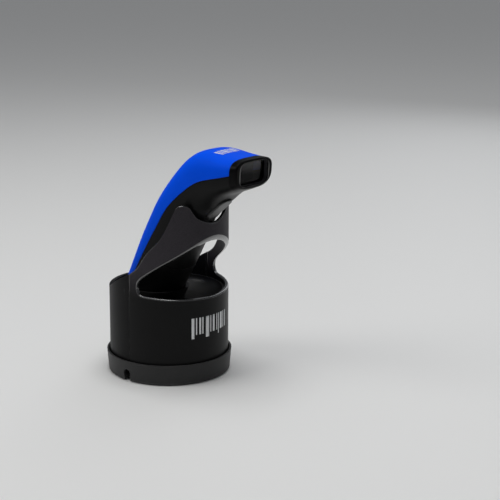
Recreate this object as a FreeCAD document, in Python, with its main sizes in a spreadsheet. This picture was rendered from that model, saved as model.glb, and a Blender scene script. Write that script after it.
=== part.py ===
"""Cordless barcode scanner standing in its round charging dock.

Frame: millimetres, +Z up, origin at the centre of the dock's foot on the table, scanner nose towards -Y.
The scanner's own pieces are drawn upright in the scanner frame (tail at z = 0, +Y towards the blue back)
and placed with one leaning placement.
"""
import FreeCAD, Part
import Sketcher
import math
import operator
import os

from FreeCAD import Placement, Rotation, Vector

os.makedirs("parts", exist_ok=True)
doc = FreeCAD.newDocument("barcode_scanner")

# ---------------------------------------------------------------- driving dimensions
SIZES = (
    # dock
    ("shell_radius", 37.0),
    ("shell_wall", 2.4),
    ("shell_foot", 4.0),
    ("rim_height", 54.0),
    ("ear_height", 111.3),
    ("band_top", 98.9),
    ("parting_depth", 1.0),
    ("ring_top_radius", 39.0),
    ("ring_foot_radius", 38.0),
    ("ring_height", 13.0),
    ("ring_lift", 0.8),
    ("notch_width", 5.0),
    ("notch_height", 8.0),
    ("plate_low", 1.0),
    ("plate_thick", 3.0),
    ("foot_radius", 34.0),
    ("foot_thick", 1.8),
    ("ballast_radius", 26.0),
    ("ballast_low", 4.0),
    ("ballast_thick", 9.0),
    ("boss_circle", 30.8),
    ("boss_radius", 4.0),
    ("boss_height", 12.0),
    ("screw_shank", 1.4),
    ("screw_head", 2.7),
    ("dish_rim", 51.6),
    ("dish_low", 43.0),
    ("dish_wall", 2.0),
    ("pocket_clearance", 0.6),
    ("pocket_wall", 1.8),
    ("pocket_depth", 16.0),
    ("dock_board_low", 16.5),
    ("dock_board_thick", 1.6),
    ("dock_board_width", 34.0),
    # scanner
    ("lean", 27.0),
    ("tail_back", 12.2),
    ("tail_rise", 44.4),
    ("scanner_wall", 1.8),
    ("tail_round", 2.5),
    ("bezel_depth", 5.0),
    ("mouth_width", 25.0),
    ("mouth_height", 13.6),
    ("mouth_round", 3.5),
    ("mouth_drop", 1.3),
    ("glass_depth", 3.0),
    ("glass_thick", 1.2),
    ("trigger_width", 11.0),
    ("trigger_length", 19.0),
    ("trigger_stand", 0.9),
    ("button_gap", 0.4),
    ("power_radius", 3.6),
    ("power_stand", 0.7),
    ("cell_radius", 7.25),
    ("cell_length", 49.0),
    ("cell_pitch", 14.6),
    ("board_thick", 1.2),
    ("board_width", 24.0),
    ("board_length", 62.0),
    ("door_length", 32.0),
    ("lock_radius", 3.4),
    ("pad_radius", 2.2),
    ("pad_pitch", 12.0),
    ("pin_radius", 1.0),
)

sheet = doc.addObject("Spreadsheet::Sheet", "Sizes")
for row, (alias, number) in enumerate(SIZES, start=1):
    sheet.set(f"A{row}", alias)
    sheet.set(f"B{row}", str(number))
    sheet.setAlias(f"B{row}", alias)
doc.recompute()


class Size:
    """A length known both as a number and as a formula on the sheet's cells."""

    def __init__(self, number, formula):
        self.number = number
        self.formula = formula

    def __float__(self):
        return float(self.number)

    def combine(self, other, sign, work):
        """Two sizes joined by one sign, as a number and as a formula."""
        other = as_size(other)
        return Size(work(self.number, other.number), f"({self.formula} {sign} {other.formula})")

    def __add__(self, other):
        return self.combine(other, "+", operator.add)

    def __sub__(self, other):
        return self.combine(other, "-", operator.sub)

    def __mul__(self, other):
        return self.combine(other, "*", operator.mul)

    def __truediv__(self, other):
        return self.combine(other, "/", operator.truediv)

    def __neg__(self):
        return as_size(0.0) - self


def as_size(value):
    """Wrap a plain number so that it can stand in a formula."""
    if isinstance(value, Size):
        return value
    return Size(value, f"{value:.6g}" if value >= 0 else f"(0 - {-value:.6g})")


def cell(alias):
    """The size held in the cell of that alias."""
    return Size(float(sheet.get(alias)), f"Sizes.{alias}")


# ---------------------------------------------------------------- helpers
SUBPARTS = {}


def keep(piece, label, placement=None):
    """Name a finished sub-part, place it and list it for export."""
    piece.Label = label
    if placement is not None:
        piece.Placement = placement
    SUBPARTS[label] = piece
    return piece


def bind(piece, prop, size):
    """Drive one property of an object from the sheet."""
    piece.setExpression(prop, as_size(size).formula)


def new_body(name):
    """An empty body."""
    return doc.addObject("PartDesign::Body", name)


def sketch_on(body, role, name, offset=None):
    """A sketch on one of the body's own origin planes."""
    plane = next(item for item in body.Origin.OriginFeatures if item.Role == role)
    sketch = body.newObject("Sketcher::SketchObject", name)
    sketch.AttachmentSupport = [(plane, "")]
    sketch.MapMode = "FlatFace"
    if offset is not None:
        sketch.AttachmentOffset = offset
    return sketch


def rectangle(sketch, left, right, low, high):
    """A rectangle whose four sides are driven from the sheet."""
    sides = [as_size(side) for side in (left, right, low, high)]
    x0, x1, y0, y1 = [float(side) for side in sides]
    corners = (Vector(x0, y0), Vector(x1, y0), Vector(x1, y1), Vector(x0, y1))
    first = sketch.GeometryCount
    for index in range(4):
        sketch.addGeometry(Part.LineSegment(corners[index], corners[(index + 1) % 4]), False)
    for index in range(4):
        following = first + (index + 1) % 4
        sketch.addConstraint(Sketcher.Constraint("Coincident", first + index, 2, following, 1))
        kind = "Horizontal" if index % 2 == 0 else "Vertical"
        sketch.addConstraint(Sketcher.Constraint(kind, first + index))
    drives = (("DistanceX", 0, sides[0]), ("DistanceX", 1, sides[1]),
              ("DistanceY", 0, sides[2]), ("DistanceY", 2, sides[3]))
    for kind, line, side in drives:
        constraint = Sketcher.Constraint(kind, -1, 1, first + line, 1, float(side))
        index = sketch.addConstraint(constraint)
        sketch.setExpression(f"Constraints[{index}]", side.formula)


def circle(sketch, radius, x=0.0, y=0.0):
    """A circle driven from the sheet."""
    radius, x, y = as_size(radius), as_size(x), as_size(y)
    index = sketch.addGeometry(Part.Circle(Vector(float(x), float(y)), Vector(0, 0, 1), float(radius)), False)
    row = sketch.addConstraint(Sketcher.Constraint("Radius", index, float(radius)))
    sketch.setExpression(f"Constraints[{row}]", radius.formula)
    for kind, place in (("DistanceX", x), ("DistanceY", y)):
        if float(place) == 0.0:
            continue
        row = sketch.addConstraint(Sketcher.Constraint(kind, -1, 1, index, 3, float(place)))
        sketch.setExpression(f"Constraints[{row}]", place.formula)


def chain(sketch, points, closed=True):
    """Straight edges from point to point."""
    vectors = [Vector(float(x), float(y)) for x, y in points]
    if closed:
        vectors.append(vectors[0])
    for start, end in zip(vectors, vectors[1:]):
        sketch.addGeometry(Part.LineSegment(start, end), False)


def curve(sketch, points, tangents=None):
    """One smooth curve through the points."""
    line = Part.BSplineCurve()
    vectors = [Vector(float(x), float(y)) for x, y in points]
    if tangents is None:
        line.interpolate(vectors)
    else:
        start, end = [Vector(x, y) for x, y in tangents]
        line.interpolate(Points=vectors, InitialTangent=start, FinalTangent=end)
    sketch.addGeometry(line, False)


def slot_outline(sketch, width, height, radius):
    """A rectangle with round corners, centred on the sketch."""
    half_x, half_y, r = float(width) / 2, float(height) / 2, float(radius)
    for sign_x, sign_y, start in ((1, 1, 0), (-1, 1, 90), (-1, -1, 180), (1, -1, 270)):
        centre = Vector(sign_x * (half_x - r), sign_y * (half_y - r))
        ring = Part.Circle(centre, Vector(0, 0, 1), r)
        sketch.addGeometry(Part.ArcOfCircle(ring, math.radians(start), math.radians(start + 90)), False)
    if half_x > r:
        for sign in (1, -1):
            ends = Vector(half_x - r, sign * half_y), Vector(r - half_x, sign * half_y)
            sketch.addGeometry(Part.LineSegment(*ends), False)
    if half_y > r:
        for sign in (1, -1):
            ends = Vector(sign * half_x, half_y - r), Vector(sign * half_x, r - half_y)
            sketch.addGeometry(Part.LineSegment(*ends), False)


def pad(body, sketch, length, midplane=False, reverse=False):
    """Pad a sketch by a driven length."""
    feature = body.newObject("PartDesign::Pad", "Pad")
    feature.Profile = sketch
    feature.Midplane = midplane
    feature.Reversed = reverse
    feature.Length = float(as_size(length))
    bind(feature, "Length", length)
    return feature


def pocket(body, sketch, length, midplane=False, reverse=False):
    """Cut a sketch by a driven length and make sure that it removes something."""
    doc.recompute()
    before = body.Shape.Volume
    feature = body.newObject("PartDesign::Pocket", "Pocket")
    feature.Profile = sketch
    feature.Midplane = midplane
    feature.Reversed = reverse
    feature.Length = float(as_size(length))
    bind(feature, "Length", length)
    doc.recompute()
    if body.Shape.Volume > before - 0.01:
        raise RuntimeError(f"{body.Name}: the pocket from {sketch.Name} cuts nothing")
    return feature


def revolve(body, sketch):
    """Turn a sketch in the XZ plane once about Z."""
    feature = body.newObject("PartDesign::Revolution", "Revolution")
    feature.Profile = sketch
    feature.ReferenceAxis = (sketch, ["V_Axis"])
    feature.Angle = 360
    return feature


def boolean(kind, name, base, tool):
    """A Part cut, fuse or common of two objects."""
    feature = doc.addObject(f"Part::{kind}", name)
    feature.Base = base
    feature.Tool = tool
    feature.Refine = False
    return feature


def fuse_all(name, pieces):
    """One solid, or one group of solids, out of several objects."""
    feature = doc.addObject("Part::MultiFuse", name)
    feature.Shapes = pieces
    feature.Refine = False
    return feature


def block(name, low, size, placement=None):
    """A box with its lowest corner at low and driven sides; returned unplaced if no placement is given."""
    box = doc.addObject("Part::Box", name)
    for prop, side in zip(("Length", "Width", "Height"), size):
        bind(box, prop, side)
    corner = Placement(Vector(*[float(value) for value in low]), Rotation())
    box.Placement = corner if placement is None else placement.multiply(corner)
    return box


def rod(name, radius, length, start, placement=None, turn=None):
    """A cylinder from its start point along +Z, or along the turned Z axis."""
    cylinder = doc.addObject("Part::Cylinder", name)
    bind(cylinder, "Radius", radius)
    bind(cylinder, "Height", length)
    spot = Placement(Vector(*[float(value) for value in start]), turn or Rotation())
    cylinder.Placement = spot if placement is None else placement.multiply(spot)
    return cylinder


def polar(radius, angle, height=0.0):
    """A point at an angle from the front (-Y), positive towards -X."""
    turn = math.radians(angle)
    return Vector(-radius * math.sin(turn), -radius * math.cos(turn), height)


# ---------------------------------------------------------------- sizes used all over
shell_radius = cell("shell_radius")
shell_inner = shell_radius - cell("shell_wall")
shell_foot = cell("shell_foot")
wall = cell("scanner_wall")
BIG = 120.0
EAR_INNER = 20.4
CORNER_BOSSES = (38.0, 142.0, 218.0, 322.0)

scanner_place = Placement(
    Vector(0, float(cell("tail_back")), float(cell("tail_rise"))),
    Rotation(Vector(1, 0, 0), float(cell("lean"))),
)


def sunk(point, direction):
    """A placement at a point of the scanner frame whose Z axis leans from +Z towards -Y by an angle."""
    return scanner_place.multiply(Placement(Vector(*point), Rotation(Vector(1, 0, 0), direction)))


# ---------------------------------------------------------------- dock: the turned shells
def shell_tube(name):
    """The full wall of the dock before it is parted and cut."""
    body = new_body(name)
    sketch = sketch_on(body, "XZ_Plane", name + "_section")
    rectangle(sketch, shell_inner, shell_radius, shell_foot, cell("ear_height"))
    revolve(body, sketch)
    return body


def skyline(body):
    """Everything above the side outline of the shells, cut right across."""
    sketch = sketch_on(body, "YZ_Plane", body.Name + "_skyline")
    rim = float(cell("rim_height"))
    top = float(cell("ear_height")) + 5
    reach = float(shell_radius) + 3
    rise = [(26.0, rim), (20.0, rim + 1.6), (12.0, rim + 6.6), (2.0, rim + 12.0)]
    slope = [(-7.0, rim + 18.4), (-13.4, rim + 28.0), (-19.6, rim + 35.4), (-24.0, rim + 44.5),
             (-26.8, rim + 53.0), (-28.2, top - 5.6), (-29.4, top - 5.0)]
    chain(sketch, [(reach, rim), rise[0]], closed=False)
    curve(sketch, rise + slope, tangents=((-1, 0), (-1, 0.05)))
    chain(sketch, [slope[-1], (slope[-1][0], top), (reach, top), (reach, rim)], closed=False)
    pocket(body, sketch, cell("shell_radius") * 3, midplane=True)


def ear_dip(body):
    """The dip between the two ears, cut from the front."""
    sketch = sketch_on(body, "XZ_Plane", "ear_dip")
    low = float(cell("band_top"))
    top = float(cell("ear_height")) + 1
    right = [(1.5, low), (4.6, low + 0.5), (7.6, low + 1.6), (11.1, low + 3.2), (13.8, low + 5.6),
             (15.8, low + 8.8), (17.5, low + 11.4), (EAR_INNER, low + 12.4)]
    left = [(-x, y) for x, y in reversed(right)]
    curve(sketch, right, tangents=((1, 0), (1, 0)))
    curve(sketch, left, tangents=((1, 0), (1, 0)))
    chain(sketch, [left[-1], right[0]], closed=False)
    chain(sketch, [right[-1], (EAR_INNER, top), (-EAR_INNER, top), left[0]], closed=False)
    pocket(body, sketch, cell("shell_radius") + 5, reverse=True)


def side_window(body):
    """The wedge-shaped opening through both sides, from the front edge to its round rear corner."""
    sketch = sketch_on(body, "YZ_Plane", "side_window")
    front = -float(shell_radius) - 2
    low, heel = Vector(front, 52.8), Vector(-11.5, 55.2)
    sill = Part.LineSegment(low, heel)
    sketch.addGeometry(sill, False)
    back, brow = Vector(-7.0, 59.4), Vector(-10.6, 66.6)
    sketch.addGeometry(Part.Arc(heel, Vector(-7.7, 56.7), back), False)
    sketch.addGeometry(Part.Arc(back, Vector(-7.8, 63.8), brow), False)
    curve(sketch, [(brow.x, brow.y), (-18.0, 72.2), (-26.0, 78.2), (-31.0, 82.6), (-34.6, 86.6),
                   (-37.0, 90.0), (front, 93.2)])
    chain(sketch, [(front, 93.2), (front, low.y)], closed=False)
    pocket(body, sketch, cell("shell_radius") * 3, midplane=True)


def lead_notch(body, name):
    """The arched notch in the foot, on the -X side, where a power lead would leave."""
    sketch = sketch_on(body, "YZ_Plane", name + "_notch")
    half = float(cell("notch_width")) / 2
    top = float(cell("notch_height"))
    chain(sketch, [(half, top - half), (half, -2.0), (-half, -2.0), (-half, top - half)], closed=False)
    sketch.addGeometry(Part.Arc(Vector(half, top - half), Vector(0, top), Vector(-half, top - half)), False)
    pocket(body, sketch, cell("ring_top_radius") + 3)


def half_space(body, name, behind):
    """Cut away everything behind (or in front of) the parting plane."""
    sketch = sketch_on(body, "XY_Plane", name + "_parting")
    parting = -cell("parting_depth")
    if behind:
        rectangle(sketch, as_size(-BIG), as_size(BIG), parting, as_size(BIG))
    else:
        rectangle(sketch, as_size(-BIG), as_size(BIG), as_size(-BIG), parting)
    pocket(body, sketch, cell("ear_height") + 20, reverse=True)


def bosses(angles, base):
    """Screw bosses standing inside the wall, each with its pilot hole."""
    pieces = []
    for angle in angles:
        spot = polar(float(cell("boss_circle")), angle, float(shell_foot))
        pieces.append(rod(f"boss_{angle:.0f}", cell("boss_radius"), cell("boss_height"), spot))
    joined = fuse_all(base.Name + "_bossed", [base] + pieces)
    holes = []
    for angle in angles:
        spot = polar(float(cell("boss_circle")), angle, float(shell_foot) - 1)
        holes.append(rod(f"pilot_{angle:.0f}", cell("screw_shank"), cell("boss_height"), spot))
    return boolean("Cut", base.Name + "_drilled", joined, fuse_all(base.Name + "_pilots", holes))


front = shell_tube("front_tube")
half_space(front, "front", behind=True)
skyline(front)
ear_dip(front)
side_window(front)
lead_notch(front, "front")
keep(bosses((38.0, 322.0), front), "dock_front_shell")

back = shell_tube("back_tube")
half_space(back, "back", behind=False)
skyline(back)
lead_notch(back, "back")
keep(bosses((142.0, 218.0), back), "dock_back_shell")

ring = new_body("ring_body")
sketch = sketch_on(ring, "XZ_Plane", "ring_section")
ring_inner = shell_radius + 0.15
chain(sketch, [
    (ring_inner, cell("ring_lift")),
    (cell("ring_foot_radius"), cell("ring_lift")),
    (cell("ring_top_radius"), cell("ring_height") - 0.8),
    (cell("ring_top_radius") - 0.6, cell("ring_height")),
    (ring_inner, cell("ring_height")),
])
revolve(ring, sketch)
lead_notch(ring, "ring")
keep(ring, "dock_base_ring")

# bottom plate with screw holes and a recess for the rubber pad
plate = new_body("plate_body")
plate_spot = Placement(Vector(0, 0, float(cell("plate_low"))), Rotation())
plate_disc = sketch_on(plate, "XY_Plane", "plate_disc", plate_spot)
circle(plate_disc, shell_radius - 0.1)
pad(plate, plate_disc, cell("plate_thick"))
recess = sketch_on(plate, "XY_Plane", "foot_recess")
circle(recess, cell("foot_radius") + 0.1)
pocket(plate, recess, cell("foot_thick"), reverse=True)
lead_notch(plate, "plate")
plate_holes = []
screw_pieces = []
for angle in CORNER_BOSSES:
    spot = polar(float(cell("boss_circle")), angle)
    hole_low = Vector(spot.x, spot.y, 0)
    plate_holes.append(rod("screw_way", cell("screw_shank") + 0.2, 6.0, hole_low))
    shank = rod("shank", cell("screw_shank") - 0.05, 10.0, Vector(spot.x, spot.y, 3.0))
    head = rod("head", cell("screw_head"), 1.2, Vector(spot.x, spot.y, float(cell("foot_thick")) + 0.05))
    socket = rod("drive", 0.9, 0.8, Vector(spot.x, spot.y, float(cell("foot_thick")) - 0.2))
    screw_pieces.append(boolean("Cut", "screw", fuse_all("screw_blank", [shank, head]), socket))
    plate_holes.append(rod("head_seat", cell("screw_head") + 0.2, 1.2,
                           Vector(spot.x, spot.y, float(cell("foot_thick")) + 0.05)))
keep(boolean("Cut", "plate_cut", plate, fuse_all("plate_tools", plate_holes)), "dock_bottom_plate")
keep(fuse_all("plate_screws", screw_pieces), "bottom_plate_screws")

foot = new_body("foot_body")
sketch = sketch_on(foot, "XY_Plane", "foot_disc")
circle(sketch, cell("foot_radius"))
pad(foot, sketch, cell("foot_thick"))
keep(foot, "rubber_foot_pad")

ballast = new_body("ballast_body")
sketch = sketch_on(ballast, "XZ_Plane", "ballast_section")
ballast_top = cell("ballast_low") + cell("ballast_thick")
chain(sketch, [(3.0, cell("ballast_low")), (cell("ballast_radius"), cell("ballast_low")),
               (cell("ballast_radius"), ballast_top - 1.0), (cell("ballast_radius") - 1.0, ballast_top),
               (3.0, ballast_top)])
revolve(ballast, sketch)
keep(ballast, "ballast_weight")

# dock electronics
board_low = float(cell("dock_board_low"))
board = new_body("dock_board_body")
outline = sketch_on(board, "XY_Plane", "dock_board_outline", Placement(Vector(0, 0, board_low), Rotation()))
rectangle(outline, as_size(-20.0), as_size(20.0), -cell("dock_board_width") / 2, cell("dock_board_width") / 2)
pad(board, outline, cell("dock_board_thick"))
POSTS = ((-16.5, -13.5), (16.5, -13.5), (-16.5, 13.5), (16.5, 13.5))
drills = [rod("board_hole", 1.3, 4.0, Vector(x, y, board_low - 1)) for x, y in POSTS]
keep(boolean("Cut", "dock_board", board, fuse_all("board_holes", drills)), "dock_circuit_board")
posts = [rod("post", 2.4, cell("dock_board_low") - ballast_top, Vector(x, y, float(ballast_top)))
         for x, y in POSTS]
keep(fuse_all("posts", posts), "board_standoffs")
board_top = board_low + float(cell("dock_board_thick"))
studs = []
for x, y in POSTS:
    head = rod("head", 2.1, 1.3, Vector(x, y, board_top))
    shank = rod("shank", 1.2, 1.6, Vector(x, y, board_low))
    studs.append(fuse_all("board_screw", [head, shank]))
keep(fuse_all("board_screw_set", studs), "dock_board_screws")
chips = [block("chip", (x, y, board_top), (8.0, 6.0, 1.4)) for x, y in ((-9.0, -6.0), (3.0, 3.0))]
chips.append(rod("capacitor", 3.0, 5.0, Vector(10.0, -7.0, board_top)))
keep(fuse_all("dock_chips", chips), "dock_board_chips")

# power socket behind the notch: a shell with its tongue
jack_low = (-float(shell_inner) + 0.6, -4.2, 4.2)
jack = block("jack_case", jack_low, (6.6, 8.4, 3.6))
mouth = block("jack_mouth", (jack_low[0] - 1.0, -3.6, 4.8), (6.0, 7.2, 2.4))
keep(boolean("Cut", "jack", jack, mouth), "power_socket")
keep(block("jack_tongue", (jack_low[0] + 1.0, -2.6, 5.6), (4.0, 5.2, 0.8)), "socket_tongue")


# ---------------------------------------------------------------- scanner: one flowing form
# station: seam point (back, up), tilt of the spine, half width, depth to the back, depth to the belly,
# squareness of the back and of the belly
STATIONS = (
    (9.6, 0.0, 0.0, 17.4, 6.6, 22.6, 2.6, 2.4),
    (9.0, 14.0, 0.0, 17.9, 7.8, 23.0, 2.7, 2.4),
    (8.1, 28.0, 0.0, 18.2, 9.2, 23.0, 2.9, 2.4),
    (7.1, 42.0, 0.0, 18.4, 10.5, 22.6, 3.1, 2.3),
    (5.7, 56.0, 0.0, 18.5, 11.6, 21.5, 3.2, 2.2),
    (4.0, 69.0, 0.0, 18.5, 12.6, 19.8, 3.2, 2.0),
    (-1.7, 84.0, 20.0, 18.5, 15.2, 17.4, 3.3, 2.0),
    (-8.3, 95.5, 42.0, 18.5, 17.6, 16.4, 3.2, 2.3),
    (-16.1, 103.2, 54.0, 18.2, 14.6, 12.4, 3.2, 2.8),
    (-23.4, 109.6, 61.5, 17.5, 10.4, 10.9, 3.3, 2.9),
    (-30.4, 115.9, 66.0, 16.6, 7.3, 10.0, 3.4, 2.9),
)
HALF_STEPS = 6
TAIL_BANDS = 4


def seam_points():
    """The seam between cover and lower body, seen from the side, from past the tail to past the nose."""
    first, last = STATIONS[0], STATIONS[-1]
    points = [(first[0] + 0.3, first[1] - 6.0)]
    points += [(back, up) for back, up, *rest in STATIONS]
    points.append((last[0] - 6.0, last[1] + 5.4))
    return points


def section(sketch, station, inset):
    """A station's closed section as one smooth curve, from the crest right round and back to it."""
    width, crest, belly, crest_power, belly_power = station[3:]
    points = []
    for step in range(2 * HALF_STEPS + 1):
        turn = math.pi * step / (2 * HALF_STEPS)
        depth, power = (crest, crest_power) if step <= HALF_STEPS else (belly, belly_power)
        x = (width - inset) * abs(math.sin(turn)) ** (2 / power)
        y = (depth - inset) * abs(math.cos(turn)) ** (2 / power)
        points.append((x, y if step <= HALF_STEPS else -y))
    points[0] = (0.0, crest - inset)
    points[-1] = (0.0, inset - belly)
    mirrored = [(-x, y) for x, y in reversed(points[:-1])]
    curve(sketch, points + mirrored, tangents=((1, 0), (1, 0)))


def flowing_form(name, inset, stations):
    """The scanner's outer form, or its hollow when inset by the wall."""
    body = new_body(name)
    sketches = []
    for index, station in enumerate(stations):
        back_at, up_at, tilt = station[:3]
        spot = Placement(Vector(0, back_at, up_at), Rotation(Vector(1, 0, 0), tilt))
        sketch = sketch_on(body, "XY_Plane", f"{name}_{index}", spot)
        section(sketch, station, inset)
        sketches.append(sketch)
    loft = body.newObject("PartDesign::AdditiveLoft", name + "_loft")
    loft.Profile = sketches[0]
    loft.Sections = sketches[1:]
    return body


def ends_moved(tail, nose):
    """The stations with the first and last pushed along the spine."""
    rows = [list(row) for row in STATIONS]
    rows[0][1] += tail
    turn = math.radians(rows[-1][2])
    rows[-1][0] -= nose * math.sin(turn)
    rows[-1][1] += nose * math.cos(turn)
    return rows


def seam_prism(name):
    """The space on the cover's side of the seam."""
    body = new_body(name)
    sketch = sketch_on(body, "YZ_Plane", name + "_side")
    points = seam_points()
    curve(sketch, points)
    first, last = points[0], points[-1]
    chain(sketch, [last, (last[0], BIG + 20), (BIG / 2, BIG + 20), (BIG / 2, first[1]), first], closed=False)
    pad(body, sketch, as_size(BIG / 2), midplane=True)
    body.Placement = scanner_place
    return body


def slot_prism(name, place, width, height, radius, low, high):
    """A prism with a round-cornered outline between two heights of a placement."""
    body = new_body(name)
    spot = Placement(Vector(0, 0, float(low)), Rotation())
    sketch = sketch_on(body, "XY_Plane", name + "_outline", spot)
    slot_outline(sketch, width, height, radius)
    pad(body, sketch, as_size(high) - low)
    body.Placement = place
    return body


def tail_prism(name, grown, low, high):
    """A prism along the handle around the tail's section, grown outwards."""
    body = new_body(name)
    station = STATIONS[1]
    spot = Placement(Vector(0, station[0], float(low)), Rotation())
    sketch = sketch_on(body, "XY_Plane", name + "_outline", spot)
    section(sketch, station, -float(grown))
    pad(body, sketch, as_size(high) - low)
    body.Placement = scanner_place
    return body


def rounded_tail(body):
    """Close the form's tail with a round of short bands below the first full section."""
    radius = float(cell("tail_round"))
    sketches = []
    for step in range(TAIL_BANDS + 1):
        turn = math.pi / 2 * step / TAIL_BANDS
        station = list(STATIONS[0])
        station[1] = radius * (1 - math.sin(turn))
        spot = Placement(Vector(0, station[0], station[1]), Rotation())
        sketch = sketch_on(body, "XY_Plane", f"tail_{step}", spot)
        section(sketch, station, radius * (1 - math.cos(turn)))
        sketches.append(sketch)
    band = body.newObject("PartDesign::AdditiveLoft", "tail_loft")
    band.Profile = sketches[0]
    band.Sections = sketches[1:]
    band.Ruled = True


outer = flowing_form("outer_form", 0.0, ends_moved(float(cell("tail_round")), 0.0))
rounded_tail(outer)
outer.Placement = scanner_place
hollow = flowing_form("hollow_form", float(wall), ends_moved(float(wall), 1.0))
hollow.Placement = scanner_place
shell = boolean("Cut", "scanner_shell", outer, hollow)
cover_side = seam_prism("cover_side")

# nose: bezel, window and its seal, in a frame with Z out of the mouth
nose_back, nose_up, nose_tilt = STATIONS[-1][:3]
mouth_drop = float(cell("mouth_drop"))
nose_centre = (0, nose_back - mouth_drop * math.cos(math.radians(nose_tilt)),
               nose_up - mouth_drop * math.sin(math.radians(nose_tilt)))
nose_place = sunk(nose_centre, nose_tilt)
mouth_width, mouth_height, mouth_round = cell("mouth_width"), cell("mouth_height"), cell("mouth_round")
seal_wall = as_size(0.8)
glass_back = -(cell("glass_depth") + cell("glass_thick"))
nose_corner = (-30.0, -30.0, -float(cell("bezel_depth")))
nose_block = block("nose_block", nose_corner, (60.0, 60.0, 40.0), nose_place)
mouth = slot_prism("mouth", nose_place, mouth_width, mouth_height, mouth_round, as_size(-12.0), as_size(6.0))
seal_way = slot_prism("seal_way", nose_place, mouth_width + seal_wall * 2, mouth_height + seal_wall * 2,
                      mouth_round + seal_wall, glass_back - 1.2, as_size(-1.0))
bezel = boolean("Cut", "bezel_open", boolean("Common", "bezel_blank", outer, nose_block), mouth)
keep(boolean("Cut", "bezel", bezel, seal_way), "nose_bezel")
seal_lip = slot_prism("seal_lip", nose_place, mouth_width - 2, mouth_height - 2, mouth_round - 1,
                      as_size(-12.0), as_size(6.0))
seal_blank = slot_prism("seal_blank", nose_place, mouth_width + seal_wall * 2, mouth_height + seal_wall * 2,
                        mouth_round + seal_wall, glass_back - 1.0, as_size(-1.0))
glass_seat = slot_prism("glass_seat", nose_place, mouth_width, mouth_height, mouth_round, glass_back,
                        as_size(6.0))
seal = boolean("Cut", "seal_seated", boolean("Cut", "seal_open", seal_blank, seal_lip), glass_seat)
keep(seal, "window_seal")
keep(slot_prism("glass_body", nose_place, mouth_width - 0.1, mouth_height - 0.1, mouth_round, glass_back,
                glass_back + cell("glass_thick")), "scan_window")

# trigger on the throat, in a frame with Z out of the surface
TRIGGER_SPOT = (0, -19.2, 80.0)
TRIGGER_TILT = 104.0
trigger_place = sunk(TRIGGER_SPOT, TRIGGER_TILT)
gap = cell("button_gap")
trigger_width, trigger_length = cell("trigger_width"), cell("trigger_length")
trigger_way = slot_prism("trigger_way", trigger_place, trigger_width + gap * 2, trigger_length + gap * 2,
                         4.5 + float(gap), as_size(-7.0), as_size(8.0))
trigger_form = flowing_form("trigger_form", -float(cell("trigger_stand")), STATIONS[4:9])
trigger_form.Placement = scanner_place
trigger_cap = slot_prism("trigger_cap", trigger_place, trigger_width, trigger_length, 4.5, as_size(-5.2),
                         as_size(8.0))
trigger_flange = slot_prism("trigger_flange", trigger_place, trigger_width + 3, trigger_length + 3, 5.5,
                            as_size(-6.2), as_size(-5.2))
trigger = fuse_all("trigger", [boolean("Common", "trigger_face", trigger_cap, trigger_form), trigger_flange])
keep(trigger, "trigger_button")
keep(rod("plunger", 1.5, 3.0, (0, 0, -9.2), trigger_place), "trigger_plunger")
switch_case = block("switch_case", (-3.0, -3.0, -13.6), (6.0, 6.0, 5.0), trigger_place)
switch_bore = rod("switch_bore", 1.9, 3.6, (0, 0, -11.4), trigger_place)
keep(boolean("Cut", "switch", switch_case, switch_bore), "trigger_switch")
keep(block("switch_plate", (-6.0, -8.0, -14.6), (12.0, 16.0, 1.0), trigger_place), "trigger_switch_board")

# power button and status light on the back of the cover
POWER_SPOT = (0, 16.9, 62.0)
LIGHT_SPOT = (0, 16.1, 72.0)
power_place = sunk(POWER_SPOT, -86.0)
light_place = sunk(LIGHT_SPOT, -84.0)
power_radius = cell("power_radius")
power_way = rod("power_way", power_radius + gap, 8.0, (0, 0, -4.0), power_place)
cap = rod("power_cap", power_radius, cell("power_stand") + 3.4, (0, 0, -3.4), power_place)
flange = rod("power_flange", power_radius + 1.2, 0.8, (0, 0, -3.6), power_place)
keep(fuse_all("power", [cap, flange]), "power_button")
keep(rod("power_dome", 2.4, 0.35, (0, 0, -4.72), power_place), "power_switch")
light_way = slot_prism("light_way", light_place, 8.0, 2.4, 1.2, as_size(-3.0), as_size(3.0))
keep(slot_prism("light_lens", light_place, 7.9, 2.3, 1.15, as_size(-2.2), as_size(0.2)), "status_light")

cover = boolean("Common", "cover_shell", shell, cover_side)
cover_tools = fuse_all("cover_tools", [nose_block, seal_way, power_way, light_way])
keep(boolean("Cut", "cover", cover, cover_tools), "top_cover")

# lower body and the battery door that closes its tail
door_block = block("door_block", (-30.0, -40.0, -10.0), (60.0, 80.0, cell("door_length") + 10), scanner_place)
belly = boolean("Cut", "belly_shell", shell, cover_side)
body_tools = fuse_all("body_tools", [nose_block, seal_way, trigger_way, door_block])
keep(boolean("Cut", "belly", belly, body_tools), "lower_body")

PAD_BACK = -5.0
LOCK_BACK = 3.0
half_pitch = float(cell("pad_pitch")) / 2
pad_ways = [rod("pad_way", cell("pad_radius"), 4.0, (x, PAD_BACK, -1.0), scanner_place)
            for x in (-half_pitch, half_pitch)]
lock_way = rod("lock_way", cell("lock_radius") + gap, 4.0, (0, LOCK_BACK, -1.0), scanner_place)
door_tools = fuse_all("door_tools", pad_ways + [lock_way])
door_shell = boolean("Common", "door_shell", belly, door_block)
keep(boolean("Cut", "door", door_shell, door_tools), "battery_door")
pads = [rod("pad", cell("pad_radius") - 0.02, 1.6, (x, PAD_BACK, 0.05), scanner_place)
        for x in (-half_pitch, half_pitch)]
keep(fuse_all("pads", pads), "charge_pads")
lock_head = rod("lock_head", cell("lock_radius"), 3.6, (0, LOCK_BACK, 0.1), scanner_place)
lock_flange = rod("lock_flange", cell("lock_radius") + 0.9, 0.9, (0, LOCK_BACK, 2.8), scanner_place)
coin_slot = block("coin_slot", (-4.0, LOCK_BACK - 0.6, -0.5), (8.0, 1.2, 1.6), scanner_place)
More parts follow.
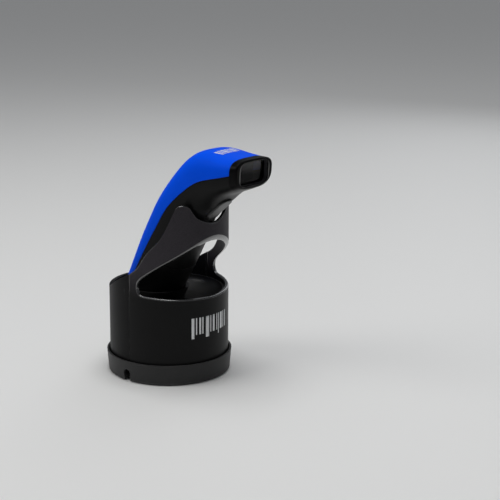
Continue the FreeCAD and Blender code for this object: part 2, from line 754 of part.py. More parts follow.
lock = boolean("Cut", "lock", fuse_all("lock_blank", [lock_head, lock_flange]), coin_slot)
keep(lock, "door_lock")

# power cells, side by side along the handle
CELL_BACK = 1.9
CELL_LOW = 5.0
half_cells = float(cell("cell_pitch")) / 2
for side, x in (("left", -half_cells), ("right", half_cells)):
    can = rod("can", cell("cell_radius"), cell("cell_length"), (x, CELL_BACK, CELL_LOW), scanner_place)
    tip = rod("tip", 2.7, 1.0, (x, CELL_BACK, CELL_LOW + float(cell("cell_length"))), scanner_place)
    keep(fuse_all("cell_" + side, [can, tip]), "battery_cell_" + side)
contacts = [block("contact", (x - 5.0, CELL_BACK - 4.0, CELL_LOW + float(cell("cell_length")) + 1.0),
                  (10.0, 8.0, 0.5), scanner_place) for x in (-half_cells, half_cells)]
keep(fuse_all("contacts", contacts), "battery_contacts")


def coil(name, radius, wire, pitch, turns, start):
    """A close-wound wire spring standing on its start point, as one stack of touching turns."""
    rings = []
    for turn in range(turns):
        ring_of_wire = doc.addObject("Part::Torus", f"{name}_{turn}")
        bind(ring_of_wire, "Radius1", radius)
        bind(ring_of_wire, "Radius2", wire)
        spot = Vector(start[0], start[1], start[2] + turn * pitch)
        ring_of_wire.Placement = scanner_place.multiply(Placement(spot, Rotation()))
        rings.append(ring_of_wire)
    return fuse_all(name, rings)


coils = [coil(f"coil_{side}", 2.4, 0.3, 0.5, 5, (x, CELL_BACK, 2.4))
         for side, x in (("left", -half_cells), ("right", half_cells))]
keep(fuse_all("coils", coils), "battery_springs")

# tray over the cells, main board and what it carries
TRAY_BACK = 9.2
BOARD_BACK = 10.0
BOARD_LOW = 6.0
tray = block("tray_plate", (-13.0, TRAY_BACK, 6.0), (26.0, 0.7, 52.0), scanner_place)
keep(tray, "battery_tray")
board_thick = cell("board_thick")
half_board = float(cell("board_width")) / 2
main = block("main_plate", (-half_board, BOARD_BACK, BOARD_LOW),
             (cell("board_width"), board_thick, cell("board_length")), scanner_place)
keep(main, "main_circuit_board")
FACE = BOARD_BACK + float(board_thick)
CHIPS = ((-6.0, 14.0, 9.0, 9.0, 1.2), (4.0, 16.0, 5.0, 7.0, 1.0), (-8.0, 30.0, 12.0, 10.0, 1.4),
         (5.5, 31.0, 4.0, 4.0, 1.0), (-7.0, 46.0, 7.0, 7.0, 1.0), (2.0, 45.0, 6.0, 4.0, 1.2))
chips = [block("chip", (x, FACE, up), (width, tall, length), scanner_place)
         for x, up, width, length, tall in CHIPS]
keep(fuse_all("main_chips", chips), "main_board_chips")
motor = rod("motor", 3.0, 11.0, (-5.5, -2.0, 66.0), scanner_place, Rotation(Vector(0, 1, 0), 90))
keep(motor, "vibration_motor")
beeper = rod("beeper_case", 4.5, 3.0, (0, 7.0, 78.0), scanner_place, Rotation(Vector(1, 0, 0), 90))
keep(beeper, "beeper")

# scan engine behind the window
engine = block("engine_case", (-10.0, -6.5, -19.0), (20.0, 11.0, 9.5), nose_place)
lens_seat = rod("lens_seat", 3.3, 3.0, (-3.5, -1.0, -11.0), nose_place)
aim_seat = rod("aim_seat", 1.7, 3.0, (6.0, -1.0, -11.0), nose_place)
keep(boolean("Cut", "engine", engine, fuse_all("engine_seats", [lens_seat, aim_seat])), "scan_engine")
keep(rod("lens", 3.2, 2.4, (-3.5, -1.0, -11.0), nose_place), "engine_lens")
keep(rod("aim", 1.6, 2.0, (6.0, -1.0, -11.0), nose_place), "aiming_light")
keep(block("engine_plate", (-11.0, -7.0, -20.2), (22.0, 11.5, 1.1), nose_place), "engine_bracket")


# ---------------------------------------------------------------- dock: cradle and charging contacts
clear = cell("pocket_clearance")
floor_low, floor_top = as_size(-2.5), as_size(-0.5)
pocket_blank = tail_prism("pocket_blank", clear + cell("pocket_wall"), floor_low, cell("pocket_depth") + 20)
pocket_hole = tail_prism("pocket_hole", clear, floor_top, as_size(60.0))
bore = new_body("bore_body")
sketch = sketch_on(bore, "XY_Plane", "bore_disc")
circle(sketch, shell_inner - 0.15)
pad(bore, sketch, cell("dish_rim"))
pocket_cut = boolean("Common", "pocket_in_bore", pocket_blank, bore)
dish = new_body("dish_body")
sketch = sketch_on(dish, "XZ_Plane", "dish_section")
rim = float(cell("dish_rim"))
low = float(cell("dish_low"))
edge = float(shell_inner) - 0.15
drop = float(cell("dish_wall"))
curve(sketch, [(edge - 1.2, rim), (edge - 4.0, rim - 4.6), (edge - 9.5, low + 1.0), (edge - 16.0, low)],
      tangents=((-0.2, -1), (-1, 0)))
chain(sketch, [(edge - 16.0, low), (0, low), (0, low - drop), (edge - 13.0, low - drop),
               (edge - 3.0, low + 1.0), (edge, rim - 4.0), (edge, rim), (edge - 1.2, rim)], closed=False)
revolve(dish, sketch)
LEGS = ((-23.6, -6.0), (23.6, -6.0), (-23.6, 6.0), (23.6, 6.0))
legs = [rod("leg", 2.0, low - float(ballast_top), Vector(x, y, float(ballast_top))) for x, y in LEGS]
pin_holes = [rod("pin_hole", cell("pin_radius") + gap, 4.0, (x, PAD_BACK, -4.0), scanner_place)
             for x in (-half_pitch, half_pitch)]
cradle = boolean("Cut", "cradle_open", fuse_all("cradle_blank", [dish, pocket_cut] + legs), pocket_hole)
keep(boolean("Cut", "cradle", cradle, fuse_all("pin_holes", pin_holes)), "dock_cradle")

contact = block("contact_blank", (-9.0, PAD_BACK - 3.0, -9.0), (18.0, 5.2, 6.4), scanner_place)
bores = [rod("pin_bore", cell("pin_radius") + gap, 6.0, (x, PAD_BACK, -8.2), scanner_place)
         for x in (-half_pitch, half_pitch)]
keep(boolean("Cut", "contact", contact, fuse_all("pin_bores", bores)), "contact_block")
for side, x in (("left", -half_pitch), ("right", half_pitch)):
    stem = rod("stem", cell("pin_radius"), 6.2, (x, PAD_BACK, -6.7), scanner_place)
    keep(stem, "charge_pin_" + side)
LEAD_BACK = 11.6
LEAD_LENGTH = 15.5
leads = [rod("lead", 0.5, LEAD_LENGTH, Vector(x, LEAD_BACK, board_top)) for x in (-half_pitch, half_pitch)]
keep(fuse_all("leads", leads), "contact_leads")


# ---------------------------------------------------------------- check and write
doc.recompute()
for item in doc.Objects:
    if "Invalid" in item.State or "Error" in item.State:
        raise RuntimeError(f"{item.Name} ({item.Label}) did not recompute: {item.State}")
for label, piece in SUBPARTS.items():
    if piece.Shape.isNull() or not piece.Shape.isValid() or not piece.Shape.Solids:
        raise RuntimeError(f"{label}: no valid solid")
    piece.Shape.exportStep(f"parts/{label}.step")
    print(f"{label}: {len(piece.Shape.Solids)} solid(s), {piece.Shape.Volume / 1000:.2f} cm3")
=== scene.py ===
"""A cordless barcode scanner standing tail down in its round charging dock.

Lengths in the classes are millimetres; meshes are written in metres. The dock's round pieces are laid out by an
angle from the front (towards -X) and a height. The scanner's pieces are laid out along its spine and round it.
"""
import bisect
import logging
import math
from dataclasses import dataclass, field
from enum import Enum
from typing import Callable, Iterable, Sequence

import bmesh
import bpy
from mathutils import Matrix, Vector
from mathutils.bvhtree import BVHTree


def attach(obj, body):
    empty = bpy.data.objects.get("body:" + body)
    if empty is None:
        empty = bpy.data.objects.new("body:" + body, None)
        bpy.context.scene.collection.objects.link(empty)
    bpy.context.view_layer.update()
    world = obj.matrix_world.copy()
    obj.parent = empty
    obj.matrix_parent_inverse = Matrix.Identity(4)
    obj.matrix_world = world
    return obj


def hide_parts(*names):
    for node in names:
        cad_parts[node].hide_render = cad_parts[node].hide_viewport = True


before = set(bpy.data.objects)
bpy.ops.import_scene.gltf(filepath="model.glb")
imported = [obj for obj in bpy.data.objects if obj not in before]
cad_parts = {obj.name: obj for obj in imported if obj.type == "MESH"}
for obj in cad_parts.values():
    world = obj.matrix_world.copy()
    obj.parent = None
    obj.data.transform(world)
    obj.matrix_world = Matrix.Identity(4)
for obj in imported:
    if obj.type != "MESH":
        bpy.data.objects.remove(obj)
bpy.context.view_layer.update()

log = logging.getLogger("barcode_scanner")
MM = 0.001
MERGE = 1e-7
Place = Callable[[int, int], Vector]
Pair = tuple[float, float]


# ---------------------------------------------------------------- curves
class Spline:
    """A smooth run of one value through evenly spaced stations."""

    def __init__(self, values: Sequence[float]) -> None:
        """Solve the natural cubic once.

        Args:
            values: the value at each station.
        """
        self.values = list(values)
        count = len(self.values)
        upper, right = [0.0] * count, [0.0] * count
        for i in range(1, count - 1):
            bend = 6 * (self.values[i + 1] - 2 * self.values[i] + self.values[i - 1])
            pivot = 4 - upper[i - 1]
            upper[i] = 1 / pivot
            right[i] = (bend - right[i - 1]) / pivot
        self.bends = [0.0] * count
        for i in range(count - 2, 0, -1):
            self.bends[i] = right[i] - upper[i] * self.bends[i + 1]

    def at(self, along: float) -> float:
        """The value at a place between stations.

        Args:
            along: the station number, with a fraction.

        Returns:
            The value there.
        """
        i = min(max(int(along), 0), len(self.values) - 2)
        t = along - i
        s = 1 - t
        cubic = ((s ** 3 - s) * self.bends[i] + (t ** 3 - t) * self.bends[i + 1]) / 6
        return s * self.values[i] + t * self.values[i + 1] + cubic


class Outline:
    """A smooth line through points, as a fine chain that can be read by its first coordinate or by its length."""

    def __init__(self, points: Sequence[Pair], fine: int = 12) -> None:
        """Run a spline through the points.

        Args:
            points: the points to pass through.
            fine: the steps from one point to the next.
        """
        first, second = Spline([p[0] for p in points]), Spline([p[1] for p in points])
        steps = (len(points) - 1) * fine
        self.chain = [(first.at(i / fine), second.at(i / fine)) for i in range(steps + 1)]

    def height(self, across: float) -> float:
        """The second coordinate where the first has a value; the first must rise or fall all along."""
        rising = self.chain[0][0] < self.chain[-1][0]
        rows = self.chain if rising else self.chain[::-1]
        i = min(max(bisect.bisect([row[0] for row in rows], across), 1), len(rows) - 1)
        low, high = rows[i - 1], rows[i]
        part = (across - low[0]) / max(high[0] - low[0], 1e-9)
        return low[1] + (high[1] - low[1]) * min(max(part, 0.0), 1.0)


def spaced(chain: Sequence[Pair], count: int) -> list[Pair]:
    """Points evenly spaced along a chain.

    Args:
        chain: the chain's points.
        count: how many gaps there are between the new points.

    Returns:
        count + 1 points from the chain's start to its end.
    """
    reach = [0.0]
    for a, b in zip(chain, chain[1:]):
        reach.append(reach[-1] + math.dist(a, b))
    points = []
    for step in range(count + 1):
        want = reach[-1] * step / count
        i = min(max(bisect.bisect(reach, want), 1), len(chain) - 1)
        part = (want - reach[i - 1]) / max(reach[i] - reach[i - 1], 1e-9)
        a, b = chain[i - 1], chain[i]
        points.append((a[0] + (b[0] - a[0]) * part, a[1] + (b[1] - a[1]) * part))
    return points


def blend(a: float, b: float, part: float) -> float:
    """The value a part of the way from a to b."""
    return a + (b - a) * part


def eased(part: float) -> float:
    """A part from 0 to 1 whose steps are finer at both ends."""
    return 0.5 - 0.5 * math.cos(math.pi * part)


# ---------------------------------------------------------------- meshes
def linked(name: str, data: bpy.types.ID) -> bpy.types.Object:
    """A new object in the scene that holds some data."""
    made = bpy.data.objects.new(name, data)
    bpy.context.scene.collection.objects.link(made)
    return made


def sheet(name: str, rows: int, columns: int, place: Place, inside: Vector,
          polished: tuple[int, ...] = ()) -> bpy.types.Object:
    """A grid of faces laid over a surface, with its coincident edges sewn together.

    Args:
        name: the piece's name.
        rows: rows of vertices.
        columns: columns of vertices.
        place: gives the point, in millimetres, for a row and a column.
        inside: a point, in millimetres, that the faces turn away from.
        polished: the rows of faces that take the piece's second finish.

    Returns:
        The new piece.
    """
    bm = bmesh.new()
    bmesh.ops.create_grid(bm, x_segments=columns - 1, y_segments=rows - 1, size=0.5)
    for face in bm.faces:
        row = int((face.calc_center_median().y + 0.5) * (rows - 1))
        face.material_index = int(row in polished)
    for vert in bm.verts:
        column = round((vert.co.x + 0.5) * (columns - 1))
        row = round((vert.co.y + 0.5) * (rows - 1))
        vert.co = place(row, column) * MM
    bmesh.ops.remove_doubles(bm, verts=bm.verts, dist=MERGE)
    return finished(name, bm, inside)


def finished(name: str, bm: bmesh.types.BMesh, inside: Vector | None = None) -> bpy.types.Object:
    """Turn a bmesh into a smooth-shaded piece.

    Args:
        name: the piece's name.
        bm: the mesh, which is freed.
        inside: for an open sheet, a point in millimetres that its faces turn away from.

    Returns:
        The new piece.
    """
    closed = all(edge.is_manifold for edge in bm.edges)
    bmesh.ops.recalc_face_normals(bm, faces=bm.faces)
    if not closed and inside is not None:
        centre = inside * MM
        facing = sum(face.normal.dot(face.calc_center_median() - centre) * face.calc_area() for face in bm.faces)
        if facing < 0:
            bmesh.ops.reverse_faces(bm, faces=bm.faces)
    for face in bm.faces:
        face.smooth = True
    mesh = bpy.data.meshes.new(name)
    bm.to_mesh(mesh)
    bm.free()
    return linked(name, mesh)


def thicken(piece: bpy.types.Object, wall: float) -> None:
    """Give an open sheet its wall, grown inwards from its outer face, in millimetres."""
    solid = piece.modifiers.new("wall", "SOLIDIFY")
    solid.thickness = wall * MM
    solid.offset = -1
    solid.use_even_offset = False


def round_edges(piece: bpy.types.Object, radius: float, steps: int = 3, angle: float = 40.0,
                polished: bool = False) -> None:
    """Round a piece's sharp edges.

    Args:
        piece: the piece.
        radius: the round, in millimetres.
        steps: faces across the round.
        angle: the sharpest turn, in degrees, that is left alone.
        polished: whether the rounds take the piece's second finish.
    """
    bevel = piece.modifiers.new("edges", "BEVEL")
    bevel.width = radius * MM
    bevel.segments = steps
    bevel.limit_method = "ANGLE"
    bevel.angle_limit = math.radians(angle)
    bevel.harden_normals = True
    bevel.material = 1 if polished else -1


def apply_modifiers(piece: bpy.types.Object) -> None:
    """Bake a piece's modifiers into its mesh."""
    bpy.context.view_layer.update()
    graph = bpy.context.evaluated_depsgraph_get()
    mesh = bpy.data.meshes.new_from_object(piece.evaluated_get(graph))
    old = piece.data
    piece.modifiers.clear()
    piece.data = mesh
    bpy.data.meshes.remove(old)


def cut(piece: bpy.types.Object, tools: Iterable[bpy.types.Object]) -> None:
    """Cut tools out of a piece and remove them.

    Args:
        piece: the piece to cut.
        tools: closed shapes.
    """
    for tool in tools:
        knife = piece.modifiers.new("cut", "BOOLEAN")
        knife.object = tool
        knife.operation = "DIFFERENCE"
        knife.solver = "EXACT"
        apply_modifiers(piece)
        bpy.data.objects.remove(tool)
    piece.data.polygons.foreach_set("use_smooth", [True] * len(piece.data.polygons))
    piece.data.set_sharp_from_angle(angle=math.radians(40))


def spun(name: str, profile: Sequence[Pair], place: Matrix, steps: int = 48) -> bpy.types.Object:
    """A turned piece.

    Args:
        name: the piece's name.
        profile: radius and height of each point from axis to axis, in millimetres.
        place: the turning axis's frame, in millimetres.
        steps: faces round the axis.

    Returns:
        The new piece.
    """
    bm = bmesh.new()
    verts = [bm.verts.new((r * MM, 0, z * MM)) for r, z in profile]
    edges = [bm.edges.new(pair) for pair in zip(verts, verts[1:])]
    bmesh.ops.spin(bm, geom=verts + edges, cent=(0, 0, 0), axis=(0, 0, 1), angle=2 * math.pi, steps=steps,
                   use_merge=True, use_duplicate=False)
    bmesh.ops.remove_doubles(bm, verts=bm.verts, dist=MERGE)
    spot = place.copy()
    spot.translation = place.translation * MM
    bmesh.ops.transform(bm, matrix=spot, verts=bm.verts)
    return finished(name, bm)


def slot_reach(half_width: float, half_height: float, corner: float, turn: float) -> float:
    """How far a round-cornered rectangle reaches from its centre in a direction.

    Args:
        half_width: half its width.
        half_height: half its height.
        corner: its corner radius.
        turn: the direction, in radians from the height's axis.

    Returns:
        The distance to its outline.
    """
    low, high = 0.0, half_width + half_height
    for _ in range(40):
        reach = (low + high) / 2
        x, y = abs(reach * math.sin(turn)), abs(reach * math.cos(turn))
        out_x, out_y = max(x - half_width + corner, 0.0), max(y - half_height + corner, 0.0)
        if math.hypot(out_x, out_y) < corner:
            low = reach
        else:
            high = reach
    return low


def slot_tool(name: str, half_width: float, half_height: float, corner: float, low: float, high: float,
              place: Matrix) -> bpy.types.Object:
    """A closed prism with a round-cornered outline.

    Args:
        name: the shape's name.
        half_width: half its width, in millimetres.
        half_height: half its height.
        corner: its corner radius.
        low: where it starts along its axis.
        high: where it ends.
        place: its frame, in millimetres.

    Returns:
        The prism.
    """
    bm = bmesh.new()
    bmesh.ops.create_circle(bm, cap_ends=True, radius=1.0, segments=64)
    for vert in bm.verts:
        turn = math.atan2(vert.co.x, vert.co.y)
        reach = slot_reach(half_width, half_height, corner, turn)
        vert.co = (reach * math.sin(turn), reach * math.cos(turn), low)
    rim = bmesh.ops.extrude_face_region(bm, geom=bm.faces[:])
    moved = [item for item in rim["geom"] if isinstance(item, bmesh.types.BMVert)]
    bmesh.ops.translate(bm, verts=moved, vec=(0, 0, high - low))
    bmesh.ops.transform(bm, matrix=Matrix.Scale(MM, 4) @ place, verts=bm.verts)
    return finished(name, bm)


# ---------------------------------------------------------------- shader work
class Graph:
    """A node tree with short ways to add nodes and links."""

    def __init__(self, tree: bpy.types.NodeTree) -> None:
        """Hold the tree.

        Args:
            tree: the node tree to fill.
        """
        self.tree = tree

    def add(self, kind: str, values: dict | None = None, **settings) -> bpy.types.Node:
        """Add a node.

        Args:
            kind: the node type's name, without its Shader Node prefix.
            values: input values or the sockets that feed them, by socket name or number.
            settings: the node's own properties.

        Returns:
            The new node.
        """
        node = self.tree.nodes.new(kind if kind.startswith("Node") else "ShaderNode" + kind)
        for key, value in settings.items():
            setattr(node, key, value)
        for key, value in (values or {}).items():
            if isinstance(value, bpy.types.NodeSocket):
                self.tree.links.new(value, node.inputs[key])
            else:
                node.inputs[key].default_value = value
        return node

    def feed(self, shader: bpy.types.Node, values: dict) -> None:
        """Link sockets to a shader's inputs, by name."""
        for key, value in values.items():
            self.tree.links.new(value, shader.inputs[key])

    def math(self, operation: str, a, b=0.0, clamp: bool = False) -> bpy.types.NodeSocket:
        """One sum on two numbers or sockets."""
        return self.add("Math", {0: a, 1: b}, operation=operation, use_clamp=clamp).outputs[0]

    def ramp(self, value, low: float, high: float, to_low: float = 0.0, to_high: float = 1.0):
        """A value spread from one range to another and held inside it."""
        values = {"Value": value, "From Min": low, "From Max": high, "To Min": to_low, "To Max": to_high}
        return self.add("MapRange", values, clamp=True).outputs["Result"]

    def mix(self, part, a, b) -> bpy.types.NodeSocket:
        """A colour part of the way from a to b."""
        return self.add("Mix", {0: part, 6: a, 7: b}, data_type="RGBA").outputs[2]

    def noise(self, where, scale: float, detail: float = 3.0, rough: float = 0.5) -> bpy.types.NodeSocket:
        """Cloudy noise at a number of cells a metre."""
        values = {"Vector": where, "Scale": scale, "Detail": detail, "Roughness": rough}
        return self.add("TexNoise", values).outputs["Fac"]


def new_group(name: str, inputs: dict[str, float], outputs: dict[str, str]) -> tuple[bpy.types.NodeTree, Graph]:
    """An empty shader group with named sockets.

    Args:
        name: the group's name.
        inputs: each input's name and first value.
        outputs: each output's name and socket type.

    Returns:
        The group's tree and a graph to fill it with.
    """
    tree = bpy.data.node_groups.new(name, "ShaderNodeTree")
    for key, value in inputs.items():
        socket = tree.interface.new_socket(name=key, in_out="INPUT", socket_type="NodeSocketFloat")
        socket.default_value = value
    for key, kind in outputs.items():
        tree.interface.new_socket(name=key, in_out="OUTPUT", socket_type=kind)
    return tree, Graph(tree)


def grain_group() -> bpy.types.NodeTree:
    """The spark-eroded grain of a moulded shell: a fine height and a slow patchiness.

    Returns:
        The group, with inputs Scale and Patch and outputs Height and Patches.
    """
    tree, graph = new_group("moulded_grain", {"Scale": 2500.0, "Patch": 40.0},
                            {"Height": "NodeSocketFloat", "Patches": "NodeSocketFloat"})
    sockets = graph.add("NodeGroupInput").outputs
    where = graph.add("TexCoord").outputs["Object"]
    fine = graph.add("TexNoise", {"Vector": where, "Scale": sockets["Scale"], "Detail": 2.0}).outputs["Fac"]
    cells = graph.add("TexVoronoi", {"Vector": where, "Scale": sockets["Scale"]}, feature="SMOOTH_F1")
    height = graph.math("ADD", graph.math("MULTIPLY", fine, 0.6), graph.math("MULTIPLY", cells.outputs[0], 0.4))
    slow = graph.add("TexNoise", {"Vector": where, "Scale": sockets["Patch"], "Detail": 4.0}).outputs["Fac"]
    graph.add("NodeGroupOutput", {"Height": height, "Patches": graph.ramp(slow, 0.3, 0.7)})
    return tree


def handling_group() -> bpy.types.NodeTree:
    """What handling leaves: worn edges, settled dust and the soft smears of fingers.

    Returns:
        The group, with inputs Wear, Dust and Smear and outputs Worn, Dusty and Smeared.
    """
    tree, graph = new_group("handling", {"Wear": 0.5, "Dust": 0.3, "Smear": 0.5},
                            {"Worn": "NodeSocketFloat", "Dusty": "NodeSocketFloat", "Smeared": "NodeSocketFloat"})
    sockets = graph.add("NodeGroupInput").outputs
    where = graph.add("TexCoord").outputs["Object"]
    shape = graph.add("NewGeometry").outputs
    edge = graph.ramp(shape["Pointiness"], 0.53, 0.60)
    broken = graph.ramp(graph.noise(where, 380.0, 4.0, 0.6), 0.42, 0.62)
    worn = graph.math("MULTIPLY", graph.math("MULTIPLY", edge, broken), sockets["Wear"], clamp=True)
    up = graph.add("SeparateXYZ", {0: shape["Normal"]}).outputs["Z"]
    specks = graph.ramp(graph.noise(where, 900.0, 2.0, 0.6), 0.60, 0.74)
    haze = graph.ramp(graph.noise(where, 60.0, 4.0), 0.35, 0.75)
    settled = graph.math("MULTIPLY", graph.ramp(up, 0.35, 1.0), graph.math("ADD", specks, haze))
    dusty = graph.math("MULTIPLY", settled, sockets["Dust"], clamp=True)
    smears = graph.ramp(graph.noise(where, 95.0, 3.0, 0.45), 0.45, 0.70)
    smeared = graph.math("MULTIPLY", smears, sockets["Smear"], clamp=True)
    graph.add("NodeGroupOutput", {"Worn": worn, "Dusty": dusty, "Smeared": smeared})
    return tree


GROUPS: dict[str, bpy.types.NodeTree] = {}


def group(name: str, build: Callable[[], bpy.types.NodeTree]) -> bpy.types.NodeTree:
    """A shared group, built the first time it is asked for."""
    if name not in GROUPS:
        GROUPS[name] = build()
    return GROUPS[name]


class Surface(Enum):
    """The kinds of surface that are built in their own way."""

    MOULDED = "moulded"
    GLASS = "glass"
    METAL = "metal"
    BOARD = "board"
    CELL = "cell"
    PRINT = "print"


@dataclass(frozen=True)
class Finish:
    """One finish: its colours and how its surface breaks up."""

    name: str
    colour: tuple[float, float, float]
    roughness: float
    surface: Surface = Surface.MOULDED
    worn_colour: tuple[float, float, float] = (0.10, 0.10, 0.105)
    spread: float = 0.12
    grain: float = 2500.0
    depth: float = 0.03
    wear: float = 0.4
    dust: float = 0.15
    smear: float = 0.3
    coat: float = 0.0
    sheen: float = 0.0
    gloss: float = 0.28
    ior: float = 1.49
    # Painted light: a paler colour over an upper band, standing in for light catching the posts, and the heights
    # where the band fades in; the glass uses these heights for its painted reflection coat.
    painted_lit_colour: tuple[float, float, float] | None = None
    painted_band_from: float = 0.056
    painted_band_to: float = 0.074

    def tone(self, factor: float = 1.0) -> tuple[float, ...]:
        """The finish's colour, darkened or lightened, with its alpha."""
        return tuple(part * factor for part in self.colour) + (1.0,)

    def material(self) -> bpy.types.Material:
        """Build the material.

        Returns:
            A node material of this finish.
        """
        known = bpy.data.materials.get(self.name)
        if known:
            return known
        material = bpy.data.materials.new(self.name)
        material.use_nodes = True
        material.node_tree.nodes.clear()
        graph = Graph(material.node_tree)
        shader = graph.add("BsdfPrincipled")
        graph.add("OutputMaterial", {"Surface": shader.outputs[0]})
        {
            Surface.MOULDED: self.moulded, Surface.GLASS: self.glass, Surface.METAL: self.metal,
            Surface.BOARD: self.board, Surface.CELL: self.cell, Surface.PRINT: self.moulded,
        }[self.surface](graph, shader)
        return material

    def moulded(self, graph: Graph, shader: bpy.types.Node) -> None:
        """Moulded plastic or rubber: grain, worn edges, dust and finger smears, and for some a rougher upper band
        whose paler colour is painted light.

        Args:
            graph: the material's graph.
            shader: its Principled shader.
        """
        grain = graph.add("Group", node_tree=group("grain", grain_group))
        grain.inputs["Scale"].default_value = self.grain
        handling = graph.add("Group", node_tree=group("handling", handling_group))
        for key, value in (("Wear", self.wear), ("Dust", self.dust), ("Smear", self.smear)):
            handling.inputs[key].default_value = value
        base = graph.mix(grain.outputs["Patches"], self.tone(1 - self.spread), self.tone(1 + self.spread))
        rough = graph.ramp(grain.outputs["Patches"], 0, 1, self.roughness - 0.03, self.roughness + 0.04)
        # The upper band is rougher, and its paler colour is painted light, broken up by fine specks.
        if self.painted_lit_colour:
            where = graph.add("TexCoord").outputs["Object"]
            rise = graph.add("SeparateXYZ", {0: where}).outputs["Z"]
            ragged = graph.math("ADD", rise, graph.math("MULTIPLY", graph.noise(where, 120.0), 0.004))
            matt_and_lit_band = graph.ramp(ragged, self.painted_band_from, self.painted_band_to)
            specks = graph.ramp(graph.noise(where, 1900.0, 2.0, 0.7), 0.3, 0.7, 0.55, 1.0)
            base = graph.mix(graph.math("MULTIPLY", matt_and_lit_band, specks), base, self.painted_lit_colour + (1.0,))
            rough = graph.math("ADD", rough, graph.math("MULTIPLY", matt_and_lit_band, 0.12))
        base = graph.mix(handling.outputs["Worn"], base, self.worn_colour + (1.0,))
        base = graph.mix(handling.outputs["Dusty"], base, (0.30, 0.29, 0.27, 1.0))
        rough = graph.math("SUBTRACT", rough, graph.math("MULTIPLY", handling.outputs["Worn"], 0.12))
        rough = graph.math("SUBTRACT", rough, graph.math("MULTIPLY", handling.outputs["Smeared"], 0.08))
        rough = graph.math("ADD", rough, graph.math("MULTIPLY", handling.outputs["Dusty"], 0.25), clamp=True)
        bump = graph.add("Bump", {"Height": grain.outputs["Height"], "Strength": 0.5,
                                  "Distance": self.depth * MM})
        graph.feed(shader, {"Base Color": base, "Roughness": rough, "Normal": bump.outputs[0]})
        shader.inputs["Specular IOR Level"].default_value = self.gloss
        shader.inputs["Coat Weight"].default_value = self.coat
        shader.inputs["Coat Roughness"].default_value = 0.12
        shader.inputs["Sheen Weight"].default_value = self.sheen

    def glass(self, graph: Graph, shader: bpy.types.Node) -> None:
        """Tinted clear plastic with faint smears, and a coat that grows towards the top as a painted reflection.

        Args:
            graph: the material's graph.
            shader: its Principled shader.
        """
        where = graph.add("TexCoord").outputs["Object"]
        smears = graph.ramp(graph.noise(where, 130.0, 4.0), 0.4, 0.75, self.roughness, self.roughness + 0.08)
        tint = graph.mix(graph.noise(where, 30.0), self.tone(), self.tone(1 - self.spread))
        graph.feed(shader, {"Roughness": smears, "Base Color": tint})
        # Painted reflection: the coat grows over the top of the window, slanting a little across, so the top reflects
        # more.
        if self.coat:
            spot = graph.add("SeparateXYZ", {0: where}).outputs
            slant = graph.math("ADD", spot["Z"], graph.math("MULTIPLY", spot["X"], 0.12))
            painted_reflection_film = graph.ramp(slant, self.painted_band_from, self.painted_band_to, 0.0, self.coat)
            graph.feed(shader, {"Coat Weight": painted_reflection_film})
        shader.inputs["Coat Roughness"].default_value = 0.08
        shader.inputs["Transmission Weight"].default_value = 1.0
        shader.inputs["IOR"].default_value = self.ior

    def metal(self, graph: Graph, shader: bpy.types.Node) -> None:
        """Metal with a fine brushed or cast break-up and faint stains.

        Args:
            graph: the material's graph.
            shader: its Principled shader.
        """
        where = graph.add("TexCoord").outputs["Object"]
        stretched = graph.add("Mapping", {"Vector": where, "Scale": (1.0, 1.0, 0.08)}).outputs[0]
        lines = graph.noise(stretched, self.grain, 3.0, 0.6)
        stains = graph.ramp(graph.noise(where, 160.0, 4.0), 0.35, 0.7)
        base = graph.mix(stains, self.tone(1 - self.spread), self.tone())
        rough = graph.ramp(lines, 0.3, 0.7, self.roughness - 0.06, self.roughness + 0.10)
        bump = graph.add("Bump", {"Height": lines, "Strength": 0.4, "Distance": self.depth * MM})
        graph.feed(shader, {"Base Color": base, "Roughness": rough, "Normal": bump.outputs[0]})
        shader.inputs["Metallic"].default_value = 1.0

    def board(self, graph: Graph, shader: bpy.types.Node) -> None:
        """Solder-masked board with copper tracks showing through as raised paler lines.

        Args:
            graph: the material's graph.
            shader: its Principled shader.
        """
        where = graph.add("TexCoord").outputs["Object"]
        tracks = graph.add("TexBrick", {"Vector": where, "Scale": 260.0, "Mortar Size": 0.03,
                                        "Color1": (0, 0, 0, 1), "Color2": (0, 0, 0, 1),
                                        "Mortar": (1, 1, 1, 1)}).outputs["Fac"]
        vias = graph.add("TexVoronoi", {"Vector": where, "Scale": 420.0}).outputs[0]
        dots = graph.ramp(vias, 0.10, 0.14, 1.0, 0.0)
        pale = tuple(min(part * 2.2, 1.0) for part in self.colour) + (1.0,)
        base = graph.mix(tracks, self.tone(), pale)
        base = graph.mix(dots, base, (0.55, 0.42, 0.16, 1.0))
        height = graph.math("MAXIMUM", tracks, dots)
        bump = graph.add("Bump", {"Height": height, "Strength": 0.5, "Distance": self.depth * MM})
        rough = graph.ramp(graph.noise(where, 300.0), 0.3, 0.7, self.roughness - 0.04, self.roughness + 0.06)
        graph.feed(shader, {"Base Color": base, "Roughness": rough, "Normal": bump.outputs[0]})

    def cell(self, graph: Graph, shader: bpy.types.Node) -> None:
        """A power cell's printed sleeve: pale, with a grey band near its upper end.

        Args:
            graph: the material's graph.
            shader: its Principled shader.
        """
        where = graph.add("TexCoord").outputs["Object"]
        turned = graph.add("Mapping", {"Vector": where, "Rotation": (math.radians(-27), 0, 0)}).outputs[0]
        rise = graph.add("SeparateXYZ", {0: turned}).outputs["Z"]
        band = graph.ramp(rise, 0.0835, 0.0840)
        base = graph.mix(band, self.tone(), (0.12, 0.13, 0.15, 1.0))
        rough = graph.ramp(graph.noise(where, 200.0), 0.3, 0.7, self.roughness - 0.05, self.roughness + 0.08)
        graph.feed(shader, {"Base Color": base, "Roughness": rough})
        shader.inputs["Coat Weight"].default_value = 0.4
